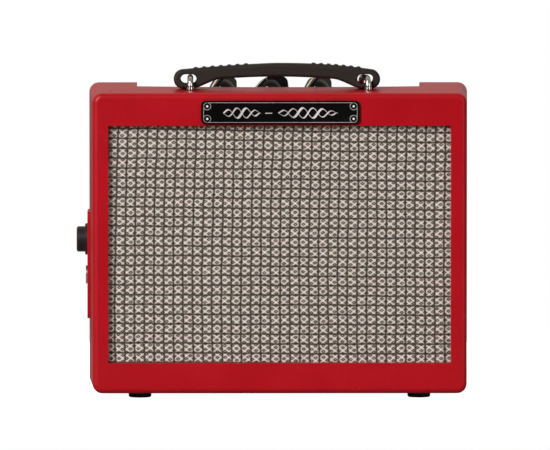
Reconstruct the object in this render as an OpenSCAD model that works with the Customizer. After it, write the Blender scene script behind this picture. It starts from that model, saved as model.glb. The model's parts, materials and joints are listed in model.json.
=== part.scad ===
// Small battery-powered guitar amplifier: a moulded box with a cloth grille, a carrying handle,
// three pointer knobs in a trough at the top rear, and sockets on the left side.
// X runs to the right as seen from the front, Y to the rear, Z up. Units are millimetres.

/* [Cabinet] */
// Width of the front face
body_w = 170; // [168:1:174]
// Height of the front face
body_h = 136.5; // [135:0.5:140]
// Depth from the front face to the rear edge
body_d = 76; // [75:0.5:80]
// How much wider the rear is than the front, on each side
side_flare = 2; // [1:0.1:2.5]
// How much higher the rear of the top is than its front
top_flare = 2.2; // [1:0.1:2.5]
// How much lower the rear of the base is than its front
base_drop = 1.3; // [0.5:0.1:1.4]
// Radius of the four long corners
corner_r = 4.4; // [4:0.2:6]
// Radius of the rounded front edge
edge_r = 2.5; // [1:0.5:3]
// Thickness of the moulded walls
wall = 3; // [2.8:0.1:3]

/* [Grille] */
// Width of the plain border left and right of the grille
side_border = 7.3; // [6.5:0.1:9]
// Height of the plain border above the grille
top_border = 14.9; // [14.5:0.1:16]
// Height of the plain border below the grille
base_border = 13.9; // [13:0.1:16]
// Thickness of the grille cloth
cloth_t = 0.4; // [0.3:0.1:0.5]
// Thickness of the baffle board
baffle_t = 3; // [2.5:0.5:3]

/* [Nameplate] */
// Width of the nameplate
plate_w = 72; // [60:1:80]
// Height of the nameplate
plate_h = 10.9; // [10:0.1:11]
// Thickness of the nameplate
plate_t = 1; // [0.8:0.1:1.5]

/* [Control trough] */
// Width of the trough in the rear of the top
trough_w = 130; // [127:0.5:131]
// Depth of the trough's front edge behind the front face, in the middle
trough_front = 42; // [42:0.5:43]
// Slope of the control panel, down to the rear, in degrees
panel_slope = 15; // [13:1:16]
// Thickness of the control panel
panel_t = 1; // [0.8:0.1:1.2]
// Distance of the knob row behind the front face
knob_y = 60; // [59:0.5:60]
// Depth of the panel below the cabinet's top at the knob row
knob_sink = 8; // [7.5:0.1:8.5]
// Place of the middle knob, from the middle of the cabinet
knob_x = -3.9; // [-5:0.1:0]
// Distance from knob to knob
knob_pitch = 21.8; // [21.4:0.1:22]

/* [Knobs] */
// Radius of a knob's round skirt
knob_r = 8.5; // [8:0.1:8.6]
// Distance from a knob's axis to the tip of its pointer
beak_reach = 10.3; // [10:0.1:10.5]
// Height of a knob above its lower edge
knob_h = 11.1; // [11:0.1:11.6]

/* [Speaker] */
// Height of the speaker's axis above the middle of the grille
speaker_rise = 0; // [-1:0.5:0]
// Radius of the speaker's flange
flange_r = 38.5; // [38:0.1:39]
// Radius of the speaker's magnet
magnet_r = 22.5; // [21:0.5:24]

/* [Handle] */
// Distance between the handle's two fastening loops
loop_span = 81; // [80.5:0.5:81.5]
// Height of the middle of the handle above the cabinet's top
handle_h = 11.5; // [11:0.1:12]
// Height of the finger gap under the middle of the handle
handle_gap = 5.5; // [5.4:0.1:5.8]
// Front-to-back width of the handle
handle_w = 12; // [11:0.5:12]

/* [Side sockets] */
// Height of the raised socket plate
socket_plate_h = 49; // [48:0.5:50]
// Radius of the plug hole of the instrument input
input_bore_r = 3.25; // [3.2:0.01:3.26]
// Radius of the plug hole of the headphone output
phones_bore_r = 1.8; // [1.77:0.01:1.82]

/* [Feet] */
// Height of the cabinet's lower front edge above the floor
foot_h = 2.5; // [2.3:0.1:3]
// Radius of a foot
foot_r = 5.2; // [4.8:0.1:5.5]

/* [Hidden] */

eps = 0.01;                 // overshoot of a cut past the face it starts from
past = 1;                   // overshoot of a cut that goes right through
fit_gap = 0.05;             // radial clearance of a running or close fit
slack = 0.3;                // clearance between neighbouring parts
cover_screw_r = 1.5;        // shank radius and length of the rear cover's screws
cover_screw_l = 11.5;
small_screw_r = 1.1;        // baffle and panel screws
board_screw_r = 1;
board_screw_bite = 5.5;     // how far a board screw goes into its post
speaker_screw_r = 1.3;
baffle_screw_bite = 2;      // how far a baffle screw goes into the front wall
round_fn = 96;              // facets of a true circle
hull_fn = 32;               // facets of a corner inside a hull
bar_fn = 10;                // sides of a lead

// --- Cabinet -------------------------------------------------------------------------------
function half_w(y) = body_w / 2 + side_flare * y / body_d;
function top_z(y) = foot_h + body_h + top_flare * y / body_d;
function base_z(y) = foot_h - base_drop * y / body_d;

inner_r = 1.4;              // corner radius of the cavity
rear_edge_r = 0.8;          // rounding of the rear rim
arc_steps = 6;              // steps of the rounded front edge
grille_w = body_w - 2 * side_border;
grille_z0 = foot_h + base_border;
grille_z1 = foot_h + body_h - top_border;
boss_r = 3.5;               // rear-cover bosses
boss_x = half_w(0) - 8;
boss_low_z = foot_h + 6.5;
boss_high_z = foot_h + body_h - 6.5;
boss_places = [for (x = [-boss_x, boss_x]) for (z = [boss_low_z, boss_high_z]) [x, z]];

// --- Nameplate ------------------------------------------------------------------------------
plate_x = 0.3;              // the nameplate sits a little right of the middle
plate_z = grille_z1 + 0.7 + plate_h / 2;
plate_r = 2.3;
pin_r = 0.55;
pin_head_r = 0.7;
pin_places = [for (x = [-1, 1]) for (z = [-1, 1])
    [plate_x + x * (plate_w / 2 - 2.8), plate_z + z * (plate_h / 2 - 2.6)]];

// --- Trough and panel ----------------------------------------------------------------------
trough_bow = 6;             // how far the trough's front edge bows forward in the middle
bow_r = (pow(trough_w / 2, 2) + pow(trough_bow, 2)) / (2 * trough_bow);
floor_t = 2.4;              // thickness of the trough's floor and walls
panel_z = top_z(knob_y) - knob_sink;
knob_places = [for (i = [-1, 0, 1]) knob_x + i * knob_pitch];
knob_turns = [-41, -68, -41];   // pointer directions, clockwise from the front
// Place of a point given along the panel (x), down its slope (v) and above its face (w)
function on_slope(x, v, w) = [
    x,
    knob_y + v * cos(panel_slope) + w * sin(panel_slope),
    panel_z - v * sin(panel_slope) + w * cos(panel_slope),
];
panel_screw_places = [for (x = [-58, 58]) for (v = [-9.5, 11]) [x, v]];
led_x = 40;
led_r = 1.5;

// --- Potentiometers (heights are measured above the panel's face) ---------------------------
pot_top = -panel_t - floor_t;
pot_h = 8.5;
pot_r = 8;
bushing_r = 3.5;
bushing_top = 4;
shaft_r = 3;
shaft_top = 8;
washer_t = 0.5;
nut_t = 1.8;
nut_r = 5;
knob_lift = 1;              // gap under a knob's lower edge
board_t = 1.6;
board_top = pot_top - pot_h - 0.6;
board_w = 96;
board_v0 = -12;
board_v1 = 13;
board_screw_places = [for (x = [-44, 44]) for (v = [-8.5, 9]) [x, v]];

// --- Baffle and speaker (y is measured from the front face) ---------------------------------
cloth_y = wall;
baffle_y = cloth_y + cloth_t;
baffle_back = baffle_y + baffle_t;
baffle_screw_x = 66;
baffle_screw_places = [
    for (x = [-baffle_screw_x, baffle_screw_x])
        for (z = [grille_z0 - 5.6, grille_z1 + 6.2]) [x, z]
];
speaker_z = (grille_z0 + grille_z1) / 2 + speaker_rise;
gasket_t = 1;
lip_t = 0.6;
flange_y = baffle_back + gasket_t + lip_t;
flange_t = 1.2;
ear_place = 30;
baffle_hole_r = flange_r - 4.5;
coil_r = 13;
cone_edge_r = 28;
basket_end_r = 24;
basket_back = flange_y + 20;
top_plate_y = basket_back + flange_t;
top_plate_t = 3;
magnet_y = top_plate_y + top_plate_t;
magnet_t = 8;
yoke_y = magnet_y + magnet_t;
yoke_t = 3;
pole_r = 12.1;

// --- Rear cover, battery bay and door --------------------------------------------------------
cover_y = body_d - 3.5;
cover_t = 2.5;
cover_back = cover_y + cover_t;
cover_half_w = half_w(cover_y) - wall - 0.5;
cover_z0 = base_z(cover_y) + wall + 0.5;
cover_z1 = top_z(cover_y) - wall - 0.5;
cover_mid_z = on_slope(0, (cover_y - knob_y) / cos(panel_slope), pot_top)[2] - 3.2;
screw_head_r = 2.8;
head_sink = 1.2;            // depth of the seat of a rear screw's head
door_half_w = 28.7;
hinge_z = foot_h + 11;
hinge_r = 1.6;
hinge_y = cover_back - hinge_r;
hinge_pin_r = 1;
hinge_pin_reach = 2.4;
door_top = hinge_z + 27.6;
door_t = 2;
bay_wall = 1.6;
bay_half_w = 30;
bay_z0 = hinge_z - 0.5;
bay_z1 = hinge_z + 28.2;
bay_y = cover_y - 20;
sill_z = hinge_z - hinge_r - 0.5;
battery_size = [48.5, 17.5, 26.5];
battery_at = [-28.5, bay_y + 0.5, bay_z0 + 0.2];
stud_x = battery_at[0] + battery_size[0];
stud_z = [for (s = [-1, 1]) battery_at[2] + battery_size[2] / 2 + s * 6.35];
stud_y = battery_at[1] + battery_size[1] / 2;
vent_rows = 8;
vent_w = 34;
vent_h = 3;
vent_pitch = 6;
vent_z0 = foot_h + 55;

// --- Side sockets ---------------------------------------------------------------------------
socket_y = 59;              // depth of the socket row behind the front face
socket_plate_x = half_w(0) + 2.7;
socket_plate_seat = half_w(0) + 0.9;
socket_plate_d = 28;
socket_plate_z0 = 34;
socket_pad_x = half_w(0) - 1;
socket_plate_mid_z = socket_plate_z0 + socket_plate_h / 2;
socket_plate_r = 2.5;
socket_pad = [socket_plate_h - 8, 20]; // height and depth of the pad in the wall's window
socket_pad_r = 1.5;
input_z = 69.8;
phones_z = 53.5;
power_z = 43.5;
jack_reach = 5;             // how far the input jack stands out of its plate
input_thread_r = 4.5;
jack_end_x = socket_plate_x + jack_reach;
input_bore_end = jack_end_x - 29;
power_hole_r = 2.9;
phones_barrel_r = 3;
power_barrel_r = 4.4;

// --- Handle (heights are measured from the handle's underside) --------------------------------
wire_r = 1.35;
handle_y = 28.5;
handle_z = top_z(handle_y) + 0.3;
handle_shift = -1.05;       // the handle lies a little to the left between its loops
hole_span = loop_span - 0.5;
hole_l = 7.2;
hole_h = 4.2;
hole_z = 4.5;
loop_leg = 8.5;             // from the middle of the handle to a loop's leg
loop_bend = 3.4;
loop_z = handle_z + hole_z + hole_h / 2 - wire_r - slack;
loop_turn = [0, 10];        // the right loop stands a little turned about its front leg
loop_places = [for (i = [0, 1]) for (leg = [0, 2 * loop_leg])
    [(i - 0.5) * loop_span - leg * sin(loop_turn[i]), handle_y - loop_leg + leg * cos(loop_turn[i])]];
loop_nut_r = 2.9;
ferrule_r = 1.6;
ferrule_h = 1.9;
seat_drop = 0.2;            // depth of the level seats cut in the sloping top
handle_end = hole_span / 2 + 6.8;
handle_end_h = 8.7;
handle_flat = handle_end - handle_end_h / 2; // where the rounded end starts
ridge_count = 7;            // on each side
ridge_start = [-14.1, 16.8]; // place of the innermost ridge, and the step to the next, left and right
ridge_pitch = [-3.82, 3.42];
ridge_h = 0.5;
ridge_w = 1.9;

// --- Feet -----------------------------------------------------------------------------------
foot_seat_z = foot_h + 0.7;
foot_places = [for (x = [-63.5, 63.5]) for (y = [15, body_d - 15]) [x, y]];

// --- The whole: the origin is under the middle of the outer box ------------------------------
centre_x = (half_w(body_d) - jack_end_x) / 2;
centre_y = (body_d - plate_t) / 2;

red = [0.62, 0.03, 0.05];
black = [0.06, 0.055, 0.055];
chrome = [0.8, 0.8, 0.82];
steel = [0.55, 0.55, 0.57];

// Moves a sub-part from the cabinet's own axes (x from the middle, y from the front face)
// to the part's origin
module placed() {
    translate([-centre_x, -centre_y, 0]) children();
}

// Turns Z to the rear, for what lies along the depth
module rearward(x, y, z) {
    translate([x, y, z]) rotate([-90, 0, 0]) children();
}

// Turns Z to the left, for the side sockets, with the origin on the cabinet's middle plane
module leftward(y, z) {
    translate([0, y, z]) rotate([0, -90, 0]) children();
}

// Stands what follows on the sloping panel
module on_panel(x = 0, v = 0) {
    translate([0, knob_y, panel_z]) rotate([-panel_slope, 0, 0]) translate([x, v, 0]) children();
}

module disc(r, h) {
    cylinder(r = r, h = h, $fn = round_fn);
}

module ring(outer, inner, h) {
    difference() {
        disc(outer, h);
        translate([0, 0, -past]) disc(inner, h + 2 * past);
    }
}

// A flat rounded rectangle, centred
module rounded(w, h, r) {
    square([w - 2 * r, h], center = true);
    square([w, h - 2 * r], center = true);
    for (x = [-1, 1], y = [-1, 1])
        translate([x * (w / 2 - r), y * (h / 2 - r)]) circle(r = r, $fn = round_fn / 2);
}

// A pan-head screw along Z: head up, shank down, with a cross recess
module pan_screw(shank_r, shank_l, head_r, head_h) {
    difference() {
        union() {
            disc(head_r, head_h);
            translate([0, 0, -shank_l]) disc(shank_r, shank_l + eps);
        }
        for (a = [0, 90])
            rotate([0, 0, a])
                translate([0, 0, head_h]) cube([head_r * 1.2, head_r * 0.25, head_h], center = true);
    }
}

// --- Leads: a smooth curve through a few points, with a ring of corners round each step -------
function between(p, i, t) =
    let (a = p[max(i - 1, 0)], b = p[i], c = p[i + 1], d = p[min(i + 2, len(p) - 1)])
    0.5 * (2 * b + (c - a) * t + (2 * a - 5 * b + 4 * c - d) * t * t
        + (3 * b - a - 3 * c + d) * t * t * t);
function smooth(p, steps) = concat(
    [for (i = [0 : len(p) - 2]) for (s = [0 : steps - 1]) between(p, i, s / steps)],
    [p[len(p) - 1]]
);
function unit(v) = v / norm(v);

module lead(points, r, steps = 5) {
    path = smooth(points, steps);
    last = len(path) - 1;
    corners = [
        for (i = [0 : last])
            let (
                along = unit(path[min(i + 1, last)] - path[max(i - 1, 0)]),
                side = unit(cross(along, [0.31, 0.87, 0.12])),
                other = cross(along, side)
            )
            for (k = [0 : bar_fn - 1])
                path[i] + r * (cos(360 * k / bar_fn) * side + sin(360 * k / bar_fn) * other)
    ];
    skin = [
        for (i = [0 : last - 1]) for (k = [0 : bar_fn - 1])
            let (next = (k + 1) % bar_fn)
            [i * bar_fn + k, i * bar_fn + next, (i + 1) * bar_fn + next, (i + 1) * bar_fn + k]
    ];
    near_end = [for (k = [bar_fn - 1 : -1 : 0]) k];
    far_end = [for (k = [0 : bar_fn - 1]) last * bar_fn + k];
    polyhedron(points = corners, faces = concat([near_end], skin, [far_end]), convexity = 6);
}

// --- Cabinet shell ----------------------------------------------------------------------------
// A corner post along the depth, with one end rounded over
module corner_post(r, edge, l) {
    arc = [for (i = [0 : arc_steps]) let (a = 90 * i / arc_steps)
        [r - edge + edge * sin(a), edge * (1 - cos(a))]];
    rotate_extrude($fn = hull_fn) polygon(concat([[0, 0]], arc, [[r, l], [0, l]]));
}

module outer_shape() {
    hull() {
        for (x = [-1, 1]) {
            for (z = [base_z(0) + corner_r, top_z(0) - corner_r])
                rearward(x * (half_w(0) - corner_r), 0, z)
                    corner_post(corner_r, edge_r, edge_r);
            for (z = [base_z(body_d) + corner_r, top_z(body_d) - corner_r])
                rearward(x * (half_w(body_d) - corner_r), body_d, z)
                    mirror([0, 0, 1]) corner_post(corner_r, rear_edge_r, rear_edge_r);
        }
    }
}

module cavity_shape() {
    hull() {
        for (y = [wall, body_d + past])
            for (x = [-1, 1], z = [base_z(y) + wall + inner_r, top_z(y) - wall - inner_r])
                rearward(x * (half_w(y) - wall - inner_r), y, z)
                    cylinder(r = inner_r, h = eps, $fn = hull_fn);
    }
}

// The trough seen from above, grown by its wall where needed
module trough_plan(grow) {
    intersection() {
        translate([-trough_w / 2 - grow, 0]) square([trough_w + 2 * grow, 2 * body_d]);
        translate([0, trough_front + bow_r]) circle(r = bow_r + grow, $fn = 4 * round_fn);
    }
}

// Everything in the trough above a level of the sloping panel
module trough_space(grow, level, h = 40) {
    intersection() {
        translate([0, 0, foot_h + body_h / 2]) linear_extrude(body_h) trough_plan(grow);
        on_panel() translate([-body_w, -body_d, level]) cube([2 * body_w, 2 * body_d, h]);
    }
}

module cabinet_holes() {
    translate([-grille_w / 2, -past, grille_z0]) cube([grille_w, wall + 2 * past, grille_z1 - grille_z0]);
    for (p = boss_places)
        rearward(p[0], cover_y - cover_screw_l - slack, p[1])
            disc(cover_screw_r + fit_gap, cover_screw_l + slack + past);
    for (p = baffle_screw_places)
        rearward(p[0], wall - baffle_screw_bite - 0.2, p[1])
            disc(small_screw_r + fit_gap, baffle_screw_bite + 0.2 + past);
    for (x = knob_places)
        on_panel(x) translate([0, 0, pot_top - past]) disc(bushing_r + fit_gap, floor_t + 2 * past);
    on_panel(led_x) translate([0, 0, pot_top - past]) disc(led_r + fit_gap, floor_t + 2 * past);
    for (p = panel_screw_places)
        on_panel(p[0], p[1]) translate([0, 0, pot_top - past]) disc(small_screw_r + fit_gap, floor_t + 2 * past);
    for (p = board_screw_places)
        on_panel(p[0], p[1]) translate([0, 0, board_top - past]) disc(board_screw_r + fit_gap, board_screw_bite + 0.5 + past);
    for (p = loop_places) {
        translate([p[0], p[1], top_z(p[1]) - wall - past]) disc(wire_r + fit_gap, wall + 3 * past);
        translate([p[0], p[1], top_z(p[1]) - seat_drop]) disc(ferrule_r + fit_gap, past);
        translate([p[0], p[1], top_z(p[1]) - wall - past]) disc(loop_nut_r + slack, past + seat_drop);
    }
    for (p = foot_places)
        translate([p[0], p[1], -past]) disc(foot_r + fit_gap, foot_seat_z + past);
    for (p = pin_places)
        rearward(p[0], -past, p[1]) disc(pin_r + fit_gap, wall + 2 * past);
}

// A rounded block on the left side, from one distance off the middle plane to another
module side_block(x0, x1, size, r) {
    leftward(socket_y, socket_plate_mid_z) translate([0, 0, x0])
        linear_extrude(x1 - x0) rounded(size[0], size[1], r);
}

module socket_window() {
    gaps = [2 * fit_gap, 2 * fit_gap];
    side_block(socket_plate_seat, socket_plate_x + past, [socket_plate_h, socket_plate_d] + gaps, socket_plate_r);
    side_block(socket_pad_x - 2 * wall, socket_plate_x, socket_pad + gaps, socket_pad_r);
}

module cabinet() {
    color(red) placed() difference() {
        union() {
            difference() {
                outer_shape();
                difference() {
                    cavity_shape();
                    trough_space(floor_t, pot_top);
                }
            }
            for (p = boss_places)
                rearward(p[0], wall - eps, p[1]) disc(boss_r, cover_y - wall);
            for (p = board_screw_places)
                on_panel(p[0], p[1]) translate([0, 0, board_top])
                    disc(2.5, pot_top - board_top + eps);
        }
        trough_space(0, -panel_t);
        cabinet_holes();
        socket_window();
    }
}

// --- Rear cover -------------------------------------------------------------------------------
module cover_outline() {
    difference() {
        translate([0, (cover_z0 + cover_z1) / 2])
            rounded(2 * cover_half_w, cover_z1 - cover_z0, 2);
        translate([-trough_w / 2 - floor_t - 0.5, cover_mid_z]) square([trough_w + 2 * floor_t + 1, body_h]);
    }
}

// Extrudes a front-view outline over a stretch of the depth
module slab(y, t) {
    translate([0, y + t, 0]) rotate([90, 0, 0]) linear_extrude(t) children();
}

module battery_bay(grow, front) {
    translate([-bay_half_w - grow, front, bay_z0 - grow])
        cube([2 * (bay_half_w + grow), cover_back - front, bay_z1 - bay_z0 + 2 * grow]);
}

module rear_cover() {
    lug_w = 3.6;
    lug = [lug_w, cover_y - hinge_y + 2.4, 2 * hinge_r + 1.6];
    color(black) placed() difference() {
        union() {
            slab(cover_y, cover_t) cover_outline();
            intersection() {
                battery_bay(bay_wall, bay_y - bay_wall);
                translate([-body_w, 0, 0]) cube([2 * body_w, cover_y + eps, body_h]);
            }
            for (s = [-1, 1])
                translate([s * (door_half_w + slack + lug_w / 2) - lug_w / 2, cover_y - lug[1] + eps,
                    hinge_z - lug[2] / 2])
                    cube(lug);
        }
        battery_bay(0, bay_y);
        translate([-door_half_w - slack, cover_y - lug[1], sill_z])
            cube([2 * (door_half_w + slack), lug[1] + cover_t + past, door_top + slack - sill_z]);
        translate([-door_half_w - hinge_pin_reach - slack, hinge_y, hinge_z]) rotate([0, 90, 0])
            disc(hinge_pin_r + fit_gap, 2 * (door_half_w + hinge_pin_reach + slack));
        for (p = boss_places) {
            rearward(p[0], cover_y - past, p[1]) disc(cover_screw_r + fit_gap, cover_t + 2 * past);
            rearward(p[0], cover_back - head_sink, p[1]) disc(screw_head_r + 0.2, head_sink + past);
        }
        for (i = [0 : vent_rows - 1], s = [-1, 1])
            slab(cover_y - past, cover_t + 2 * past)
                translate([s * (vent_w / 2 + 4), vent_z0 + i * vent_pitch])
                    rounded(vent_w, vent_h, vent_h / 2 - eps);
        translate([bay_half_w - 3.5, bay_y + 9, bay_z1 - past]) disc(2.4, bay_wall + 2 * past);
    }
}

module rear_screws() {
    color(steel) placed() for (p = boss_places)
        rearward(p[0], cover_back - head_sink, p[1]) pan_screw(cover_screw_r, cover_screw_l, screw_head_r, 1.6);
}

module battery_door() {
    rib_h = 0.5;
    color(black) placed() {
        translate([-door_half_w, cover_back - door_t, hinge_z]) cube([2 * door_half_w, door_t, door_top - hinge_z]);
        translate([-door_half_w, hinge_y, hinge_z]) rotate([0, 90, 0]) disc(hinge_r, 2 * door_half_w);
        translate([-door_half_w - hinge_pin_reach, hinge_y, hinge_z]) rotate([0, 90, 0])
            disc(hinge_pin_r, 2 * (door_half_w + hinge_pin_reach));
        translate([-5, cover_back - door_t - 2, door_top - 3]) cube([10, 2 + eps, 2.8]);
        for (i = [0 : 3])
            translate([-8, cover_back - eps, door_top - 4 - i * 1.8]) cube([16, rib_h, 0.8]);
    }
}

// --- Grille -----------------------------------------------------------------------------------
module baffle_board() {
    edge = 3;
    color([0.16, 0.12, 0.09]) placed() difference() {
        slab(baffle_y, baffle_t) {
            translate([-grille_w / 2 - edge, grille_z0 - edge])
                square([grille_w + 2 * edge, grille_z1 - grille_z0 + 2 * edge]);
            translate([-boss_x + boss_r + 2, grille_z0 - 9])
                square([2 * (boss_x - boss_r - 2), grille_z1 - grille_z0 + 18.8]);
        }
        rearward(0, baffle_y - past, speaker_z) disc(baffle_hole_r, baffle_t + 2 * past);
        for (p = baffle_screw_places)
            rearward(p[0], baffle_y - past, p[1]) disc(small_screw_r + fit_gap, baffle_t + 2 * past);
        for (x = [-ear_place, ear_place], z = [-ear_place, ear_place])
            rearward(x, baffle_y - past, speaker_z + z) disc(speaker_screw_r + fit_gap, baffle_t + 2 * past);
    }
}

module baffle_screws() {
    color(steel) placed() for (p = baffle_screw_places)
        rearward(p[0], baffle_back, p[1])
            pan_screw(small_screw_r, baffle_t + cloth_t + baffle_screw_bite, 2 * small_screw_r, 1.2);
}

module grille_cloth() {
    edge = 2.7;
    color([0.72, 0.68, 0.62]) placed() slab(cloth_y, cloth_t)
        translate([-grille_w / 2 - edge, grille_z0 - edge])
            square([grille_w + 2 * edge, grille_z1 - grille_z0 + 2 * edge]);
}

// --- Nameplate --------------------------------------------------------------------------------
module nameplate() {
    color(black) placed() difference() {
        slab(-plate_t, plate_t) translate([plate_x, plate_z]) rounded(plate_w, plate_h, plate_r);
        for (p = pin_places)
            rearward(p[0], -plate_t - past, p[1]) disc(pin_r + fit_gap, plate_t + 2 * past);
    }
}

module nameplate_pins() {
    head_h = 0.4;
    color(chrome) placed() for (p = pin_places) {
        rearward(p[0], -plate_t, p[1]) disc(pin_r, plate_t + wall - 0.2);
        rearward(p[0], -plate_t - head_h, p[1]) disc(pin_head_r, head_h);
    }
}

// --- Controls ---------------------------------------------------------------------------------
module control_panel() {
    color([0.75, 0.74, 0.72]) placed() difference() {
        intersection() {
            translate([0, 0, foot_h + body_h / 2]) linear_extrude(body_h) trough_plan(-0.25);
            on_panel() translate([-body_w, -body_d, -panel_t]) cube([2 * body_w, 2 * body_d, panel_t]);
            translate([-body_w, 0, 0]) cube([2 * body_w, body_d - 0.5, 2 * body_h]);
        }
        for (x = knob_places)
            on_panel(x) translate([0, 0, -panel_t - past]) disc(bushing_r + fit_gap, panel_t + 2 * past);
        on_panel(led_x) translate([0, 0, -panel_t - past]) disc(led_r + fit_gap, panel_t + 2 * past);
        for (p = panel_screw_places)
            on_panel(p[0], p[1]) translate([0, 0, -panel_t - past])
                disc(small_screw_r + fit_gap, panel_t + 2 * past);
    }
}

module panel_screws() {
    color(chrome) placed() for (p = panel_screw_places)
        on_panel(p[0], p[1]) pan_screw(small_screw_r, panel_t + floor_t - 0.2, 2 * small_screw_r, 1);
}

module power_led() {
    stem = 5.5;
    color([0.75, 0.05, 0.04]) placed() on_panel(led_x) {
        translate([0, 0, -stem]) disc(led_r, stem + 0.4);
        translate([0, 0, 0.4]) sphere(r = led_r, $fn = round_fn / 2);
        translate([0, 0, -stem - 1]) disc(led_r + 0.4, 1);
    }
}

// A potentiometer hung under the trough's floor; its shaft is a part of its own
module pot_housing() {
    difference() {
        union() {
            translate([0, 0, pot_top - pot_h]) disc(pot_r, pot_h);
            translate([0, 0, pot_top - eps]) disc(bushing_r, bushing_top - pot_top);
            children();
        }
        translate([0, 0, pot_top - pot_h + 1.5]) disc(shaft_r + fit_gap, bushing_top - pot_top + pot_h);
    }
}

module volume_pot() {
    switch_block = [10, 5, pot_h - 1];
    color(steel) placed() on_panel(knob_places[0]) pot_housing()
        translate([-switch_block[0] / 2, pot_r - 1.5, pot_top - switch_block[2]]) cube(switch_block);
}

module tone_pot() {
    color(steel) placed() on_panel(knob_places[1]) pot_housing();
}

module drive_pot() {
    color(steel) placed() on_panel(knob_places[2]) pot_housing();
}

module pot_washers() {
    color(steel) placed() for (x = knob_places)
        on_panel(x) ring(nut_r + 0.1, bushing_r + fit_gap, washer_t);
}

module pot_nuts() {
    color(steel) placed() for (x = knob_places)
        on_panel(x) translate([0, 0, washer_t]) difference() {
            cylinder(r = nut_r, h = nut_t, $fn = 6);
            translate([0, 0, -past]) disc(bushing_r + fit_gap, nut_t + 2 * past);
        }
}

module pot_shaft(x) {
    bottom = pot_top - pot_h + 1.8;
    placed() on_panel(x) translate([0, 0, bottom]) disc(shaft_r, shaft_top - bottom);
}

module volume_shaft() {
    color(steel) pot_shaft(knob_places[0]);
}

module tone_shaft() {
    color(steel) pot_shaft(knob_places[1]);
}

module drive_shaft() {
    color(steel) pot_shaft(knob_places[2]);
}

// A pointer knob's bar seen from the side, pointer to the right
bar_line = [
    [-9.1, 0], [beak_reach, 0], [beak_reach, 0.9], [9.8, 1.9], [9.1, 2.8], [8.2, 3.9], [7.3, 5], [6.5, 6],
    [5.7, 6.9], [4.95, 7.8], [4.2, 8.65], [3.2, 9.55], [2.3, 10.1], [0.8, 10.6], [-1.4, 10.95], [-3.5, knob_h],
    [-5.2, knob_h], [-6.6, 10.8], [-7.5, 10.2], [-8.1, 9.4], [-8.5, 8], [-8.9, 6],
];
bar_w = 5.2;                // thickness of the bar at its widest, a little towards the pointer
tip_r = 1.3;
tail_r = 1.9;
tail_reach = 9.1;
knob_skirt_h = 1.8;
knob_edge_h = 0.8;          // height of the bevel on top of the skirt
knob_dome_r = 5.5;          // the body round the shaft, with a half ball on top
knob_dome_z = 4.3;

module pointer_knob(i) {
    color(black) placed() on_panel(knob_places[i]) translate([0, 0, knob_lift]) difference() {
        union() {
            disc(knob_r, knob_skirt_h);
            translate([0, 0, knob_skirt_h])
                cylinder(r1 = knob_r, r2 = knob_r - knob_edge_h, h = knob_edge_h, $fn = round_fn);
            disc(knob_dome_r, knob_dome_z);
            translate([0, 0, knob_dome_z]) sphere(r = knob_dome_r, $fn = round_fn);
            rotate([0, 0, -90 + knob_turns[i]]) intersection() {
                linear_extrude(knob_h) hull() {
                    translate([tail_r - tail_reach, 0]) circle(r = tail_r, $fn = hull_fn);
                    translate([2.5, 0]) circle(r = bar_w / 2, $fn = hull_fn);
                    translate([beak_reach - tip_r, 0]) circle(r = tip_r, $fn = hull_fn);
                }
                rotate([90, 0, 0]) translate([0, 0, -bar_w]) linear_extrude(2 * bar_w)
                    polygon(bar_line);
            }
        }
        translate([0, 0, -knob_dome_r]) disc(knob_r, knob_dome_r);
        translate([0, 0, -past]) disc(nut_r + 0.4, 2 + past);
        translate([0, 0, -past]) disc(bushing_r + 0.35, 3.4 + past);
        translate([0, 0, -past]) disc(shaft_r + fit_gap / 2, past + shaft_top - knob_lift + slack);
    }
}

module volume_knob() {
    pointer_knob(0);
}

module tone_knob() {
    pointer_knob(1);
}

module drive_knob() {
    pointer_knob(2);
}

// --- Circuit board ----------------------------------------------------------------------------
module main_board() {
    color([0.05, 0.3, 0.16]) placed() difference() {
        on_panel() translate([-board_w / 2, board_v0, board_top - board_t])
            cube([board_w, board_v1 - board_v0, board_t]);
        for (p = board_screw_places)
            on_panel(p[0], p[1]) translate([0, 0, board_top - board_t - past])
                disc(board_screw_r + fit_gap, board_t + 2 * past);
    }
}

module board_screws() {
    color(steel) placed() for (p = board_screw_places)
        on_panel(p[0], p[1]) translate([0, 0, board_top - board_t]) mirror([0, 0, 1])
            pan_screw(board_screw_r, board_t + board_screw_bite, 2 * board_screw_r, 1.2);
}

// Hangs what follows under the board, with Z down
module under_board(x, v) {
    on_panel(x, v) translate([0, 0, board_top - board_t]) mirror([0, 0, 1]) children();
}

module amplifier_chip() {
    chip = [9.6, 6.4, 3.3];
    color(black) placed() under_board(-8, 0) {
        translate([-chip[0] / 2, -chip[1] / 2, 0.5]) cube(chip);
        for (i = [-1.5 : 1.5], s = [-1, 1])
            translate([i * 2.54 - 0.25, s * 3.5 - 0.15, 0]) cube([0.5, 0.3, 1.6]);
    }
}

module filter_capacitors() {
    color([0.1, 0.12, 0.3]) placed() {
        under_board(10, -5) disc(4, 10);
        under_board(20, -5) disc(4, 10);
        under_board(30, -6) disc(2.5, 7);
        under_board(-26, 6) disc(2.5, 7);
    }
}

module resistors() {
    color([0.72, 0.6, 0.42]) placed() for (i = [0 : 5])
        under_board(8 + 4.5 * i, 6) translate([0, 0, 1.3]) rotate([90, 0, 0])
            translate([0, 0, -3]) disc(1.1, 6);
}

// --- Speaker ----------------------------------------------------------------------------------
// Puts the speaker's axis along Z, with Z = depth behind the front face
module speaker_axis(y = 0) {
    rearward(0, y, speaker_z) children();
}

module speaker_gasket() {
    color(black) placed() speaker_axis(baffle_back) ring(flange_r - 0.2, baffle_hole_r + 0.1, gasket_t);
}

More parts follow.
